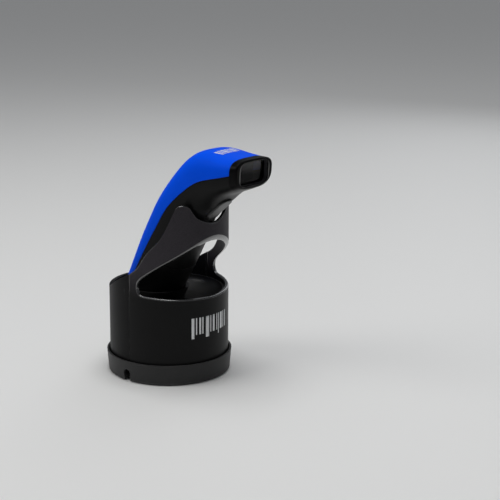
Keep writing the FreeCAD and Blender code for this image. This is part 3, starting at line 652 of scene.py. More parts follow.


# The shell's band from 56 to 74 mm up is rougher; its paler colour is painted light on the posts.
BLACK_SHELL = Finish("shell_black_plastic", (0.004, 0.004, 0.0042), 0.40, grain=2200.0, depth=0.05, wear=0.3,
                     worn_colour=(0.06, 0.06, 0.062), dust=0.05, gloss=0.14, painted_lit_colour=(0.046, 0.041, 0.048))
# Polished rounds: glossier and coated, which is a finish; their colour, paler than the shells, is a painted highlight
# along the rims.
EDGE_HIGHLIGHT = Finish("edge_polished_highlight_plastic", (0.015, 0.015, 0.0155), 0.22, grain=3000.0, depth=0.004, wear=0.0, dust=0.0,
              smear=0.2, gloss=1.0, coat=1.0)
BLACK_BACK = Finish("back_black_plastic", (0.003, 0.003, 0.0033), 0.46, grain=2200.0, depth=0.05, wear=0.3,
                    worn_colour=(0.06, 0.06, 0.062), dust=0.03, gloss=0.12)
BLACK_RING = Finish("ring_black_plastic", (0.024, 0.024, 0.0245), 0.48, grain=2200.0, depth=0.05, wear=0.3, dust=0.08)
BLACK_BODY = Finish("body_black_plastic", (0.004, 0.004, 0.0042), 0.38, grain=2600.0, depth=0.02, wear=0.2,
                    dust=0.02, gloss=0.11)
BLACK_BEZEL = Finish("bezel_black_plastic", (0.0015, 0.0015, 0.0018), 0.34, grain=3000.0, depth=0.015, wear=0.1,
                     dust=0.0, gloss=0.07)
BLUE_COVER = Finish("cover_blue_plastic", (0.0002, 0.082, 0.84), 0.52, worn_colour=(0.01, 0.14, 0.80), spread=0.05,
                    grain=3000.0, depth=0.02, wear=0.3, dust=0.0, smear=0.5, gloss=0.035)
CRADLE = Finish("cradle_black_plastic", (0.005, 0.005, 0.0052), 0.32, grain=2600.0, depth=0.008, wear=0.2,
                dust=0.04, smear=0.15, gloss=0.30)
TRIGGER = Finish("trigger_black_plastic", (0.020, 0.020, 0.0205), 0.34, grain=3000.0, depth=0.012, wear=0.3,
                 smear=0.8, dust=0.0, gloss=0.5)
RUBBER = Finish("foot_rubber", (0.014, 0.014, 0.014), 0.72, grain=1500.0, depth=0.06, wear=0.2, dust=0.3, sheen=0.1)
SEAL = Finish("seal_rubber", (0.003, 0.003, 0.003), 0.62, grain=2500.0, depth=0.03, wear=0.1, dust=0.02, gloss=0.1)
BUTTON = Finish("button_rubber", (0.014, 0.014, 0.015), 0.55, grain=2500.0, depth=0.02, wear=0.3, sheen=0.08)
INNER = Finish("inner_black_plastic", (0.018, 0.018, 0.019), 0.50, grain=1800.0, depth=0.04, dust=0.05)
CHIP = Finish("chip_black_plastic", (0.014, 0.014, 0.015), 0.40, grain=4000.0, depth=0.02, wear=0.1, dust=0.0)
PRINT = Finish("white_print", (0.78, 0.79, 0.80), 0.40, surface=Surface.PRINT, worn_colour=(0.55, 0.55, 0.55),
               spread=0.04, grain=4000.0, depth=0.01, wear=0.2, dust=0.1)
# The window's coat ramps in from 131.5 to 138.5 mm up: a painted reflection at its top.
GLASS = Finish("window_clear_plastic", (0.20, 0.20, 0.23), 0.04, surface=Surface.GLASS, spread=0.15, coat=0.9,
               ior=1.16, painted_band_from=0.1315, painted_band_to=0.1385)
LENS = Finish("lens_clear_glass", (0.86, 0.90, 0.95), 0.01, surface=Surface.GLASS, spread=0.05)
LIGHT = Finish("light_frosted_plastic", (0.80, 0.92, 0.82), 0.28, surface=Surface.GLASS, spread=0.05)
STEEL = Finish("steel_plated", (0.62, 0.62, 0.63), 0.28, surface=Surface.METAL, grain=3000.0, depth=0.01)
IRON = Finish("iron_cast", (0.20, 0.195, 0.19), 0.58, surface=Surface.METAL, grain=900.0, depth=0.15, spread=0.35)
GOLD = Finish("gold_plated", (0.88, 0.62, 0.24), 0.20, surface=Surface.METAL, grain=3500.0, depth=0.006)
ENGINE = Finish("engine_anodised", (0.045, 0.045, 0.050), 0.38, surface=Surface.METAL, grain=2500.0, depth=0.01)
BOARD = Finish("board_green", (0.012, 0.110, 0.045), 0.32, surface=Surface.BOARD, depth=0.04)
CELL = Finish("cell_sleeve", (0.72, 0.73, 0.75), 0.30, surface=Surface.CELL)

NODE_FINISHES: dict[str, Finish] = {
    "dock_bottom_plate": INNER, "bottom_plate_screws": STEEL, "rubber_foot_pad": RUBBER, "ballast_weight": IRON,
    "dock_circuit_board": BOARD, "board_standoffs": GOLD, "dock_board_screws": STEEL, "dock_board_chips": CHIP,
    "power_socket": STEEL, "socket_tongue": CHIP, "dock_cradle": CRADLE, "contact_block": INNER,
    "contact_leads": GOLD, "window_seal": SEAL, "scan_window": GLASS, "trigger_switch": CHIP,
    "trigger_switch_board": BOARD, "power_switch": STEEL, "charge_pads": GOLD, "battery_cell_left": CELL,
    "battery_cell_right": CELL, "battery_contacts": GOLD, "battery_springs": STEEL, "battery_tray": INNER,
    "main_circuit_board": BOARD, "main_board_chips": CHIP, "vibration_motor": STEEL, "beeper": CHIP,
    "scan_engine": ENGINE, "engine_lens": LENS, "aiming_light": LENS, "engine_bracket": ENGINE,
    "charge_pin_left": GOLD, "charge_pin_right": GOLD, "door_lock": BLACK_BODY, "trigger_plunger": INNER,
    "status_light": LIGHT,
}


def dress(piece: bpy.types.Object, *finishes: Finish) -> None:
    """Give a piece its finishes; clearing the slots would reset its faces, so they are kept."""
    kept = [polygon.material_index for polygon in piece.data.polygons]
    piece.data.materials.clear()
    for finish in finishes:
        piece.data.materials.append(finish.material())
    if len(finishes) > 1:
        piece.data.polygons.foreach_set("material_index", kept)


def settle(piece: bpy.types.Object, finish: Finish, body: str, stands_for: str | None = None,
           edges: Finish | None = None) -> None:
    """Dress a new piece and fix it to its body.

    Args:
        piece: the piece.
        finish: its finish.
        body: the body that it moves with.
        stands_for: the plain node that it replaces, if any.
        edges: the finish of its polished edges, glossier and with a paler colour that is a painted highlight, if it
            has any.
    """
    dress(piece, *([finish, edges] if edges else [finish]))
    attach(piece, body)
    if stands_for:
        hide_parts(stands_for)
    log.info("%s: %d faces, rides on %s", piece.name, len(piece.data.polygons), body)


def bars(scale: float) -> list[Pair]:
    """The start and width of each bar in a plain printed run, centred on zero.

    Args:
        scale: stretches the run.

    Returns:
        One pair for each bar, in millimetres.
    """
    widths = (1.6, 0.7, 1.1, 0.7, 2.2, 0.7, 1.4, 0.7, 0.7, 1.9, 0.7, 1.2)
    spaces = (0.9, 1.3, 0.8, 1.6, 0.9, 1.2, 1.5, 0.8, 1.1, 0.9, 1.3, 0.0)
    start = -0.5 * (sum(widths) + sum(spaces))
    run = []
    for width, space in zip(widths, spaces):
        run.append((start * scale, width * scale))
        start += width + space
    return run


# ---------------------------------------------------------------- the scanner
@dataclass(frozen=True)
class Lean:
    """How the scanner stands in the dock: its tail's place and the lean of its handle."""

    back: float = 12.2
    rise: float = 44.4
    angle: float = 27.0

    def matrix(self) -> Matrix:
        """The scanner's frame, in millimetres."""
        return Matrix.Translation((0, self.back, self.rise)) @ Matrix.Rotation(math.radians(self.angle), 4, "X")

    def sunk(self, back: float, up: float, tilt: float) -> Matrix:
        """A frame at a point of the scanner whose Z axis tilts from its +Z towards its -Y."""
        return self.matrix() @ Matrix.Translation((0, back, up)) @ Matrix.Rotation(math.radians(tilt), 4, "X")


@dataclass
class Form:
    """The scanner's outer form, as sections along its spine.

    Each station holds the seam's place (back, up), the section's tilt, its half width, its depths to the crest
    and to the belly, and how square each of those halves is.
    """

    stations: tuple[tuple[float, ...], ...] = (
        (9.6, 2.5, 0.0, 17.4, 6.6, 22.6, 2.6, 2.4), (9.0, 14.0, 0.0, 17.9, 7.8, 23.0, 2.7, 2.4),
        (8.1, 28.0, 0.0, 18.2, 9.2, 23.0, 2.9, 2.4), (7.1, 42.0, 0.0, 18.4, 10.5, 22.6, 3.1, 2.3),
        (5.7, 56.0, 0.0, 18.5, 11.6, 21.5, 3.2, 2.2), (4.0, 69.0, 0.0, 18.5, 12.6, 19.8, 3.2, 2.0),
        (-1.7, 84.0, 20.0, 18.5, 15.2, 17.4, 3.3, 2.0), (-8.3, 95.5, 42.0, 18.5, 17.6, 16.4, 3.2, 2.3),
        (-16.1, 103.2, 54.0, 18.2, 14.6, 12.4, 3.2, 2.8), (-23.4, 109.6, 61.5, 17.5, 10.4, 10.9, 3.3, 2.9),
        (-30.4, 115.9, 66.0, 16.6, 7.3, 10.0, 3.4, 2.9),
    )
    tail_round: float = 2.5
    lean: Lean = Lean()
    splines: list[Spline] = field(default_factory=list)

    def __post_init__(self) -> None:
        """Run a spline through each value of the stations."""
        self.splines = [Spline(column) for column in zip(*self.stations)]
        self.end = len(self.stations) - 1
        self.world = self.lean.matrix()

    def local(self, along: float, turn: float, inset: float = 0.0, scale: float = 1.0) -> Vector:
        """A point of the form in the scanner's frame.

        Args:
            along: the station number, with a fraction.
            turn: degrees round the section from the crest; 90 and 270 lie on the seam, 180 on the belly.
            inset: how far inside the surface.
            scale: shrinks the section towards the seam's centre.

        Returns:
            The point, in millimetres.
        """
        back, up, tilt, width, crest, belly, crest_power, belly_power = [line.at(along) for line in self.splines]
        angle = math.radians(turn)
        across, rise = math.sin(angle), math.cos(angle)
        depth, power = (crest, crest_power) if rise >= 0 else (belly, belly_power)
        reach = (abs(rise / (depth - inset)) ** power + abs(across / (width - inset)) ** power) ** (-1 / power)
        x, y = scale * reach * across, scale * reach * rise
        lean = math.radians(tilt)
        return Vector((x, back + y * math.cos(lean), up + y * math.sin(lean)))

    def tail(self, step: float, turn: float, scale: float = 1.0) -> Vector:
        """A point of the rounded tail; step runs from 0, at the flat end, to 1, where the handle starts."""
        angle = math.pi / 2 * (1 - step)
        point = self.local(0.0, turn, self.tail_round * (1 - math.cos(angle)), scale)
        point.z = self.tail_round * (1 - math.sin(angle))
        return point

    def find(self, turn: float, past: Callable[[Vector], bool], low: float, high: float, inset: float = 0.0) -> float:
        """The place along the spine where a column of the form first passes a plane.

        Args:
            turn: the column.
            past: tells whether a point is past the plane.
            low: a place before it.
            high: a place past it.
            inset: how far inside the surface.

        Returns:
            The place, as a station number with a fraction.
        """
        for _ in range(30):
            middle = (low + high) / 2
            if past(self.local(middle, turn, inset)):
                high = middle
            else:
                low = middle
        return high


@dataclass
class Scanner:
    """The hand-held unit's outer pieces."""

    form: Form = field(default_factory=Form)
    wall: float = 1.8
    bezel_depth: float = 5.0
    door_length: float = 32.0
    mouth_half: Pair = (12.5, 6.8)
    mouth_round: float = 3.5
    mouth_drop: float = 1.3
    seal_wall: float = 0.8
    seam_round: float = 0.3
    rim_round: float = 1.1
    trigger_half: Pair = (5.5, 9.5)
    trigger_round: float = 4.5
    gap: float = 0.4
    cover_columns: int = 72
    rows: int = 120
    door_rows: int = 40

    def door_at(self, turn: float) -> float:
        """Where a column meets the battery door's end."""
        return self.form.find(turn, lambda p: p.z > self.door_length, 0.5, 4.0)

    def power_frame(self) -> Matrix:
        """The power button's frame, whose Z axis leaves the cover."""
        return self.form.lean.sunk(16.9, 62.0, -86.0)

    def nose_at(self, turn: float, inset: float = 0.0) -> float:
        """Where a column meets the cut between the covers and the bezel, which lies along the nose's front."""
        back, up, tilt = self.form.stations[-1][:3]
        lean = math.radians(tilt)

        def past(point: Vector) -> bool:
            """Whether a point lies in the bezel."""
            return (point.z - up) * math.cos(lean) - (point.y - back) * math.sin(lean) > -self.bezel_depth

        return self.form.find(turn, past, 8.0, 10.0, inset)

    def tail_rows(self) -> list[Pair]:
        """The rows over the tail's end: how far round its edge, and how far out from its middle."""
        flat = [(0.0, scale) for scale in (0.0, 0.25, 0.5, 0.75, 0.93)]
        return flat + [(step / 6, 1.0) for step in range(6)]

    def half(self, name: str, start: float, finish: float, stop: Callable[[float], float],
             from_tail: bool) -> bpy.types.Object:
        """One half of the shell, with its wall and its seams' rounds.

        Args:
            name: the piece's name.
            start: the first column's turn, in degrees.
            finish: the last column's turn.
            stop: gives the end along the spine of each column.
            from_tail: whether the half closes the tail.

        Returns:
            The half.
        """
        cap = self.tail_rows() if from_tail else []
        begin = 0.0 if from_tail else self.door_at(180.0)
        turns = [blend(start, finish, i / (self.cover_columns - 1)) for i in range(self.cover_columns)]
        ends = [stop(turn) for turn in turns]
        inside = self.form.world @ Vector((0, 2, 60))

        def place(row: int, column: int) -> Vector:
            """The sheet's point for a row and a column."""
            if row < len(cap):
                point = self.form.tail(cap[row][0], turns[column], cap[row][1])
            else:
                part = (row - len(cap)) / (rows - len(cap) - 1)
                point = self.form.local(blend(begin, ends[column], part), turns[column])
            return self.form.world @ point

        rows = len(cap) + (self.rows if ends[0] > 5 else self.door_rows)
        piece = sheet(name, rows, self.cover_columns, place, inside)
        thicken(piece, self.wall)
        round_edges(piece, self.seam_round)
        return piece

    def cover(self) -> None:
        """The coloured top cover, from the tail over the crest to the bezel."""
        piece = self.half("scanner_top_cover", -90, 90, self.nose_at, True)
        power, light = self.power_frame(), self.form.lean.sunk(16.1, 72.0, -84.0)
        cut(piece, [slot_tool("power_way", 4.0, 4.0, 3.99, -4.0, 4.0, power),
                    slot_tool("light_way", 4.0, 1.2, 1.19, -4.0, 4.0, light)])
        settle(piece, BLUE_COVER, "scanner", "top_cover")

    def lower(self) -> None:
        """The black underside of the handle and head, with the trigger's opening."""
        piece = self.half("scanner_lower_body", 90, 270, self.nose_at, False)
        width, length = self.trigger_half
        cut(piece, [slot_tool("trigger_way", width + self.gap, length + self.gap, self.trigger_round + self.gap,
                              -7.0, 8.0, self.trigger_frame())])
        settle(piece, BLACK_BODY, "scanner", "lower_body")

    def door(self) -> None:
        """The battery door that closes the tail, with its openings for the pads and the lock."""
        piece = self.half("scanner_battery_door", 90, 270, self.door_at, True)
        world = self.form.world
        ways = [slot_tool("pad_way", 2.2, 2.2, 2.19, -2.0, 3.0, world @ Matrix.Translation((x, -5.0, 0)))
                for x in (-6.0, 6.0)]
        ways.append(slot_tool("lock_way", 3.8, 3.8, 3.79, -2.0, 3.0, world @ Matrix.Translation((0, 3.0, 0))))
        cut(piece, ways)
        settle(piece, BLACK_BODY, "scanner", "battery_door")

    def trigger_frame(self) -> Matrix:
        """The trigger's frame, whose Z axis leaves the throat."""
        return self.form.lean.sunk(-19.2, 80.0, 104.0)

    def mouth(self, turn: float, grow: float, corner: float, depth: float) -> Vector:
        """A point of the mouth's outline in the scanner's frame.

        Args:
            turn: degrees round it from the top.
            grow: how far outside the mouth.
            corner: its corner radius.
            depth: how far behind the nose's front plane.

        Returns:
            The point, in millimetres.
        """
        angle = math.radians(turn)
        reach = slot_reach(self.mouth_half[0] + grow, self.mouth_half[1] + grow, corner, angle)
        x, y = reach * math.sin(angle), reach * math.cos(angle) - self.mouth_drop
        back, up, tilt = self.form.stations[-1][:3]
        lean = math.radians(tilt)
        return Vector((x, back + y * math.cos(lean) + depth * math.sin(lean),
                       up + y * math.sin(lean) - depth * math.cos(lean)))

    def bezel(self) -> None:
        """The nose's ring: outer skin, rounded front rim, face, mouth and hidden sleeve, closed on itself."""
        columns = 145
        turns = [360 * i / (columns - 1) for i in range(columns)]
        outer = [self.nose_at(turn) for turn in turns]
        inner = [self.nose_at(turn, self.wall) for turn in turns]
        form, rim, spacing = self.form, self.rim_round, 9.5
        corner = self.mouth_round

        def ring(row: int, i: int) -> Vector:
            """The bezel's point for a row and a column, in the scanner's frame."""
            turn = turns[i]
            straight = 8
            begin, shoulder = outer[i], form.end - rim / spacing
            if row < straight:
                return form.local(blend(begin, max(shoulder, begin + 0.01), row / (straight - 1)), turn)
            row -= straight
            if row < 6:
                angle = math.pi / 2 * (row + 1) / 6
                place = max(form.end - rim / spacing * (1 - math.sin(angle)), begin + 0.011)
                return form.local(place, turn, rim * (1 - math.cos(angle)))
            row -= 6
            if row < 3:
                part = (row + 1) / 4
                return form.local(form.end, turn, rim).lerp(self.mouth(turn, 0.4, corner + 0.4, 0.0), part)
            row -= 3
            if row < 5:
                angle = math.pi / 2 * row / 4
                grow = 0.4 * (1 - math.sin(angle))
                return self.mouth(turn, grow, corner + grow, 0.4 * (1 - math.cos(angle)))
            row -= 5
            hidden = ((0.0, 1.0), (self.seal_wall, 1.0), (self.seal_wall, 5.4))
            if row < 3:
                return self.mouth(turn, hidden[row][0], corner + hidden[row][0], hidden[row][1])
            return form.local(inner[i] if row == 3 else outer[i], turn, self.wall if row == 3 else 0.0)

        # Face rows 16 and 21 at the mouth take the polished finish, whose paler colour is a painted highlight.
        piece = sheet("nose_ring", 8 + 6 + 3 + 5 + 5, columns, lambda row, i: form.world @ ring(row, i),
                      form.world @ self.mouth(0, 0, corner, 3.0), (16, 21))
        piece.data.set_sharp_from_angle(angle=math.radians(50))
        settle(piece, BLACK_BEZEL, "scanner", "nose_bezel", EDGE_HIGHLIGHT)

    def trigger(self) -> None:
        """The trigger: the throat's own curve, raised, with a shallow finger hollow and a round edge."""
        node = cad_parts["trigger_button"]
        tree = BVHTree.FromPolygons([v.co for v in node.data.vertices], [p.vertices for p in node.data.polygons])
        place = self.trigger_frame()
        back = place.inverted()
        outward = (place.to_3x3() @ Vector((0, 0, 1))).normalized()

        def surface(x: float, y: float) -> float:
            """The plain trigger's height over a point of its frame."""
            start = (place @ Vector((x, y, 20.0))) * MM
            hit = tree.ray_cast(start, -outward)[0]
            return (back @ (hit / MM)).z if hit else 0.0

        width, length = self.trigger_half
        rounds, columns, edge = 14, 81, 0.6

        def point(row: int, column: int) -> Vector:
            """The trigger's point for a row, from its middle outwards and down, and a column round it."""
            turn = 2 * math.pi * column / (columns - 1)
            reach = slot_reach(width, length, self.trigger_round, turn)
            flat = reach - edge
            if row <= rounds:
                part = row / rounds
                out, drop = flat * part, 0.30 * (1 - part ** 2) ** 2
            elif row <= rounds + 6:
                angle = math.pi / 2 * (row - rounds) / 6
                out, drop = flat + edge * math.sin(angle), edge * (1 - math.cos(angle))
            else:
                out, drop = (reach, 3.0) if row == rounds + 7 else (0.0, 3.0)
            x, y = out * math.sin(turn), out * math.cos(turn)
            inner = min(out, reach - 0.15)
            height = surface(inner * math.sin(turn), inner * math.cos(turn))
            return place @ Vector((x, y, height - drop))

        piece = sheet("trigger_cap", rounds + 9, columns, point, place @ Vector((0, 0, -2)))
        settle(piece, TRIGGER, "trigger", "trigger_button")

    def power_button(self) -> None:
        """The power button: a shallow dome with a recessed ring."""
        place = self.power_frame()
        profile = [(0.0, 0.62), (1.2, 0.62), (1.45, 0.42), (1.75, 0.42), (2.0, 0.62), (2.7, 0.66), (3.15, 0.58),
                   (3.45, 0.36), (3.6, 0.05), (3.6, -2.8), (4.8, -2.8), (4.8, -3.6), (0.0, -3.6)]
        piece = spun("power_cap", profile, place)
        piece.data.set_sharp_from_angle(angle=math.radians(50))
        settle(piece, BUTTON, "power_key", "power_button")

    def mark(self) -> None:
        """A plain run of printed bars across the head, for decoration."""
        form = self.form
        for index, (start, width) in enumerate(bars(0.72)):
            def place(row: int, column: int, start: float = start, width: float = width) -> Vector:
                """A bar's point for a row and a column."""
                turn = math.degrees(math.atan2(start + width * column / 2 - 1.5, 16.0))
                return form.world @ form.local(blend(7.85, 8.35, row / 5), turn, -0.02)

            piece = sheet(f"head_bar_{index}", 6, 3, place, form.world @ Vector((0, -8, 100)))
            thicken(piece, -0.03)
            settle(piece, PRINT, "scanner")

    def build(self) -> None:
        """Build every outer piece of the scanner."""
        self.cover()
        self.lower()
        self.door()
        self.bezel()
        self.trigger()
        self.power_button()
        self.mark()


# ---------------------------------------------------------------- the dock
@dataclass
class Dock:
    """The round charging dock's outer pieces."""

    radius: float = 37.0
    inner: float = 34.6
    foot: float = 4.0
    rim: float = 54.0
    ear: float = 111.3
    band: float = 98.9
    parting: float = 1.0
    notch: float = 2.5
    notch_top: float = 8.0
    ring_top: float = 39.0
    ring_foot: float = 38.0
    ring_low: float = 0.8
    ring_high: float = 13.0
    edge: float = 0.55
    front_edge: float = 0.85

    def __post_init__(self) -> None:
        """Lay out the outlines, seen from the side and from the front."""
        rim = self.rim
        self.skyline = Outline([(37.5, rim), (31.0, rim), (26.0, rim), (20.0, rim + 1.6), (12.0, rim + 6.6),
                                (2.0, rim + 12.0), (-7.0, rim + 18.4), (-13.4, rim + 28.0), (-19.6, rim + 35.4),
                                (-24.0, rim + 44.5), (-26.8, rim + 53.0), (-28.2, self.ear - 0.6),
                                (-29.6, self.ear)])
        low = self.band
        self.dip = Outline([(0.0, low), (1.5, low), (4.6, low + 0.5), (7.6, low + 1.6), (11.1, low + 3.2),
                            (13.8, low + 5.6), (15.8, low + 8.8), (17.5, low + 11.4), (20.4, low + 12.4)])
        brow = Outline([(-41.0, 95.4), (-39.0, 93.2), (-37.0, 90.0), (-34.6, 86.6), (-31.0, 82.6), (-26.0, 78.2),
                        (-18.0, 72.2), (-10.6, 66.6)])
        heel = Outline([(-10.6, 66.6), (-8.4, 64.3), (-7.1, 61.9), (-7.0, 59.4), (-7.9, 57.0), (-9.5, 55.7),
                        (-11.5, 55.2)], 8)
        self.window = brow.chain + heel.chain[1:] + [(-24.0, 54.1), (-39.0, 52.8)]

    def at(self, radius: float, turn: float, height: float) -> Vector:
        """A point on a cylinder; turn is in radians from the front towards -X."""
        return Vector((-radius * math.sin(turn), -radius * math.cos(turn), height))

    def top(self, radius: float, turn: float) -> float:
        """The front shell's upper edge at a turn from the front."""
        x, y = abs(radius * math.sin(turn)), -radius * math.cos(turn)
        height = self.ear
        if x < 20.4 and y < 0:
            height = min(height, self.dip.height(x))
        if y > -29.6:
            height = min(height, self.skyline.height(y))
        return height

    def bottom(self, radius: float, turn: float, foot: float) -> float:
        """A lower edge, raised over the arched notch on the -X side."""
        y = -radius * math.cos(turn)
        if math.sin(turn) < 0 or abs(y) >= self.notch:
            return foot
        return self.notch_top - self.notch + math.sqrt(self.notch ** 2 - y ** 2)

    def outer_loop(self, radius: float, side: int) -> list[Pair]:
        """Half of the front shell's outline, from the dip's middle round the parting to the foot's middle.

        Args:
            radius: the skin's radius.
            side: 1 towards -X, -1 towards +X.

        Returns:
            Points as (turn in radians, height).
        """
        last = math.acos(self.parting / radius)
        peak = math.radians(35.5)
        count = 160
        crown = [(peak * i / count, self.top(radius, peak * i / count)) for i in range(count + 1)]
        slope = [(blend(peak, last, i / count), self.top(radius, blend(peak, last, i / count)))
                 for i in range(count + 1)]
        low = self.bottom(radius, side * last, self.foot)
        post = [(last, slope[-1][1]), (last, low)]
        notch_at = math.acos(self.notch / radius)
        base = [(blend(last, notch_at, i / 8), self.bottom(radius, side * blend(last, notch_at + 0.001, i / 8),
                                                           self.foot)) for i in range(9)]
        base += [(notch_at, self.foot), (0.0, self.foot)]
        return self.joined(radius, (crown, slope, post, base), side)

    def inner_loop(self, radius: float, side: int) -> list[Pair]:
        """Half of the window's outline, matched point for point to the outer loop."""
        points = [(math.acos(min(-y / radius, 1.0)), z) for y, z in self.window if y >= -radius]
        above = [p for p in self.window if p[0] < -radius and p[1] > 70]
        if above:
            a, b = above[-1], next(p for p in self.window if p[0] >= -radius)
            part = (-radius - a[0]) / (b[0] - a[0])
            points.insert(0, (0.0, blend(a[1], b[1], part)))
        points.append((0.0, blend(54.1, 52.8, (radius - 24) / 15)))
        corner = max(range(len(points)), key=lambda i: points[i][0])
        first = max(i for i in range(corner) if points[i][0] < math.radians(38))
        heel = corner + 20
        parts = (points[:first + 1], points[first:corner - 11], points[corner - 12:heel + 1], points[heel:])
        return self.joined(radius, parts, side)

    def joined(self, radius: float, parts: Sequence[Sequence[Pair]], side: int) -> list[Pair]:
        """Resample each part of a loop evenly on the skin and join them."""
        loop: list[Pair] = []
        for part, count in zip(parts, (44, 74, 60, 60)):
            flat = [(turn * radius, height) for turn, height in part]
            fresh = [(arc / radius, height) for arc, height in spaced(flat, count)]
            loop += fresh if not loop else fresh[1:]
        return [(side * turn, height) for turn, height in loop]

    def front_shell(self) -> None:
        """The front shell: foot wall, side posts, ears and band in one skin round the window."""
        across, steps = 18, 5
        wall, lip = self.radius - self.inner, self.front_edge
        loops = []
        for radius in (self.radius, self.inner):
            pair = []
            for build in (self.inner_loop, self.outer_loop):
                right, left = build(radius, 1), build(radius, -1)
                pair.append(right + left[::-1][1:])
            loops.append(pair)
        turns = [math.radians(90 * i / steps) for i in range(steps + 1)]
        rim = [(lip * (1 - math.cos(turn)), lip * (1 - math.sin(turn))) for turn in turns]
        rim += [(wall - depth, inset) for depth, inset in reversed(rim)]
        flat = [eased(i / across) for i in range(1, across)]
        section = [(depth, 0.0, inset) for depth, inset in rim] + [(wall, part, lip) for part in flat]
        section += [(depth, 1.0, inset) for depth, inset in reversed(rim)]
        section += [(0.0, 1 - part, lip) for part in flat] + [(0.0, 0.0, lip)]

        def place(row: int, column: int) -> Vector:
            """The shell's point for a row round its section and a column round the window."""
            depth, part, inset = section[row]
            inner, outer = ([blend(loops[0][side][column][axis], loops[1][side][column][axis], depth / wall)
                             for axis in (0, 1)] for side in (0, 1))
            span = math.hypot((outer[0] - inner[0]) * self.radius, outer[1] - inner[1])
            start = min(inset / span, 0.4 * inset / lip)
            spot = blend(start, 1 - start, part)
            return self.at(self.radius - depth, blend(inner[0], outer[0], spot), blend(inner[1], outer[1], spot))

        far = len(rim) + len(flat)
        # The rim rows take the polished finish, whose paler colour is a painted highlight along the window's edges.
        polished = (*range(len(rim) - 1), *range(far, far + len(rim) - 1))
        piece = sheet("dock_front", len(section), len(loops[0][0]), place, Vector((0, -30, 30)), polished)
        settle(piece, BLACK_SHELL, "dock", "dock_front_shell", EDGE_HIGHLIGHT)

    def ring_turns(self, start: float, finish: float, step: float) -> list[float]:
        """Turns in radians with extra ones at the notch's arch on the -X side."""
        foot = self.ring_foot
        turns = {round(blend(start, finish, i / round((finish - start) / step)), 6)
                 for i in range(round((finish - start) / step) + 1)}
        for i in range(-8, 9):
            turns.add(round(90 + math.degrees(math.asin(self.notch * math.sin(math.radians(i * 11.2)) / foot)), 6))
        for gap in (-0.02, 0.02):
            for sign in (-1, 1):
                turns.add(round(90 + sign * math.degrees(math.asin(self.notch / foot)) + gap, 6))
        return [math.radians(turn) for turn in sorted(turns) if start - 1e-6 <= turn <= finish + 1e-6]

    def back_shell(self) -> None:
        """The back shell, from parting to parting round the rear."""
        last = math.degrees(math.acos(self.parting / self.radius))
        turns = self.ring_turns(last, 360 - last, 1.5)
        rows = 26

        def place(row: int, column: int) -> Vector:
            """The skin's point for a row and a column."""
            turn = turns[column]
            low, high = self.bottom(self.radius, turn, self.foot), self.top(self.radius, turn)
            return self.at(self.radius, turn, blend(low, high, eased(row / (rows - 1))))

        piece = sheet("dock_back", rows, len(turns), place, Vector((0, 0, 30)))
        thicken(piece, self.radius - self.inner)
        # The rounds take the polished finish, whose paler colour is a painted highlight.
        round_edges(piece, self.edge, 3, 50, True)
        settle(piece, BLACK_BACK, "dock", "dock_back_shell", EDGE_HIGHLIGHT)

    def base_ring(self) -> None:
        """The flared ring round the foot, with its arched notch."""
        turns = self.ring_turns(0.0, 360.0, 2.0)
        rows = 9
        bore = self.radius + 0.15

        def place(row: int, column: int) -> Vector:
            """The ring's point: up the outside, over the top, down the bore and back."""
            turn = turns[column]
            low = self.bottom(self.ring_foot, turn, self.ring_low)
            if row < rows or row == 2 * rows:
                height = blend(low, self.ring_high, eased((row % (2 * rows)) / (rows - 1)))
                part = (height - self.ring_low) / (self.ring_high - self.ring_low)
                return self.at(blend(self.ring_foot, self.ring_top, part), turn, height)
            height = blend(self.ring_high, low, eased((row - rows) / (rows - 1)))
            return self.at(blend(bore, self.ring_top - 1.15, (height - low) / (self.ring_high - low)), turn, height)

        piece = sheet("dock_ring", 2 * rows + 1, len(turns), place, Vector((0, 0, 6)))
        round_edges(piece, 0.35, 3, 35)
        settle(piece, BLACK_RING, "dock", "dock_base_ring")

    def mark(self) -> None:
        """A plain run of printed bars on the front, for decoration."""
        for index, (start, width) in enumerate(bars(1.15)):
            low = 28.5 if index % 4 == 0 else 31.0

            def place(row: int, column: int, start: float = start, width: float = width, low: float = low) -> Vector:
                """A bar's point for a row and a column."""
                arc = start + width * column / 3 - 2.0
                return self.at(self.radius + 0.02, -arc / self.radius, blend(low, 41.5, row / 7))

            piece = sheet(f"front_bar_{index}", 8, 4, place, Vector((0, 0, 36)))
            thicken(piece, -0.03)
            settle(piece, PRINT, "dock")

    def build(self) -> None:
        """Build every outer piece of the dock."""
        self.front_shell()
        self.back_shell()
        self.base_ring()
        self.mark()


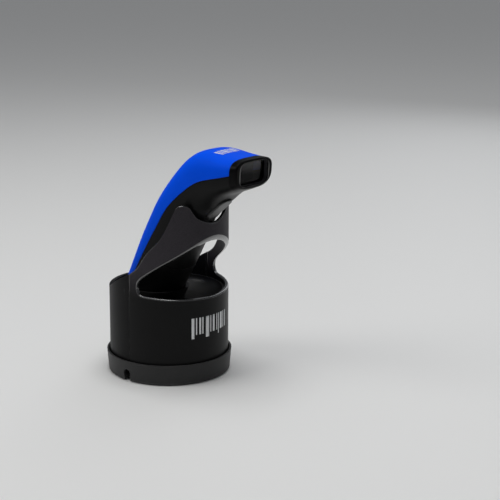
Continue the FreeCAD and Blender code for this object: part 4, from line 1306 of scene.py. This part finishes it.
# ---------------------------------------------------------------- the room
@dataclass
class Studio:
    """Camera, floor and soft lights."""

    target: tuple[float, float, float] = (31.6, -39.0, 75.9)
    azimuth: float = -51.0
    elevation: float = 14.395
    roll: float = -0.556
    distance: float = 804.1
    lens: float = 93.6

    def camera(self) -> None:
        """Stand the camera in front and to the side of the dock."""
        turn, rise = math.radians(self.azimuth), math.radians(self.elevation)
        back = Vector((math.sin(turn) * math.cos(rise), -math.cos(turn) * math.cos(rise), math.sin(rise)))
        right = Vector((math.cos(turn), math.sin(turn), 0))
        up = back.cross(right)
        roll = math.radians(self.roll)
        side, top = right * math.cos(roll) - up * math.sin(roll), right * math.sin(roll) + up * math.cos(roll)
        matrix = Matrix((side, top, back)).transposed().to_4x4()
        matrix.translation = (Vector(self.target) + back * self.distance) * MM
        data = bpy.data.cameras.new("camera")
        data.lens = self.lens
        data.sensor_width = 36
        data.clip_start, data.clip_end = 0.01, 50
        camera = linked("camera", data)
        camera.matrix_world = matrix
        bpy.context.scene.camera = camera

    def floor(self) -> None:
        """A wide pale floor."""
        bm = bmesh.new()
        bmesh.ops.create_grid(bm, x_segments=1, y_segments=1, size=8.0)
        piece = finished("floor", bm, Vector((0, 0, -1000)))
        material = bpy.data.materials.new("floor_pale")
        material.use_nodes = True
        shader = material.node_tree.nodes["Principled BSDF"]
        shader.inputs["Base Color"].default_value = (0.80, 0.80, 0.79, 1)
        shader.inputs["Roughness"].default_value = 0.55
        piece.data.materials.append(material)

    def lamp(self, name: str, place: tuple[float, float, float], size: tuple[float, float], power: float,
             tint: tuple[float, float, float] = (1, 1, 1)) -> None:
        """A rectangular lamp that looks at the object.

        Args:
            name: the lamp's name.
            place: where it stands, in metres.
            size: its width and height, in metres.
            power: its power, in watts.
            tint: its colour.
        """
        data = bpy.data.lights.new(name, "AREA")
        data.shape = "RECTANGLE"
        data.size, data.size_y = size
        data.energy = power
        data.color = tint
        direction = Vector((0, 0, 0.08)) - Vector(place)
        lamp = linked(name, data)
        lamp.matrix_world = Matrix.Translation(place) @ direction.to_track_quat("-Z", "Y").to_matrix().to_4x4()

    def sun(self) -> None:
        """A weak, very soft light from high up that keeps the floor even."""
        data = bpy.data.lights.new("sky_light", "SUN")
        data.energy = 0.42
        data.angle = math.radians(70)
        linked("sky_light", data)

    def world(self) -> None:
        """A pale, even sky."""
        world = bpy.data.worlds.new("room")
        world.use_nodes = True
        world.node_tree.nodes.clear()
        graph = Graph(world.node_tree)
        light = graph.add("Background", {"Color": (0.86, 0.89, 0.94, 1), "Strength": 0.16})
        seen = graph.add("Background", {"Color": (0.86, 0.87, 0.88, 1), "Strength": 0.55})
        eye = graph.add("LightPath").outputs["Is Camera Ray"]
        both = graph.add("MixShader", {0: eye, 1: light.outputs[0], 2: seen.outputs[0]})
        graph.add("OutputWorld", {"Surface": both.outputs[0]})
        bpy.context.scene.world = world

    def build(self) -> None:
        """Set up the room."""
        bpy.context.scene.view_settings.view_transform = "Standard"
        self.camera()
        self.floor()
        self.world()
        self.lamp("key", (-0.8, 0.5, 0.9), (0.7, 0.5), 4.0, (1.0, 0.99, 0.97))
        self.lamp("top", (0.0, -0.05, 1.3), (0.6, 0.6), 7.0)
        self.lamp("rim", (0.9, 0.2, 0.6), (0.5, 0.8), 1.2, (0.95, 0.97, 1.0))
        self.sun()


def dress_nodes() -> None:
    """Give the nodes that stay as they are their finishes."""
    for name, finish in NODE_FINISHES.items():
        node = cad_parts[name]
        dress(node, finish)
        log.info("%s: dressed in %s", name, finish.name)


def main() -> None:
    """Build everything and report it."""
    logging.basicConfig(level=logging.INFO, format="%(message)s")
    Studio().build()
    dress_nodes()
    Dock().build()
    Scanner().build()
    bpy.context.view_layer.update()


if __name__ == "__main__":
    main()
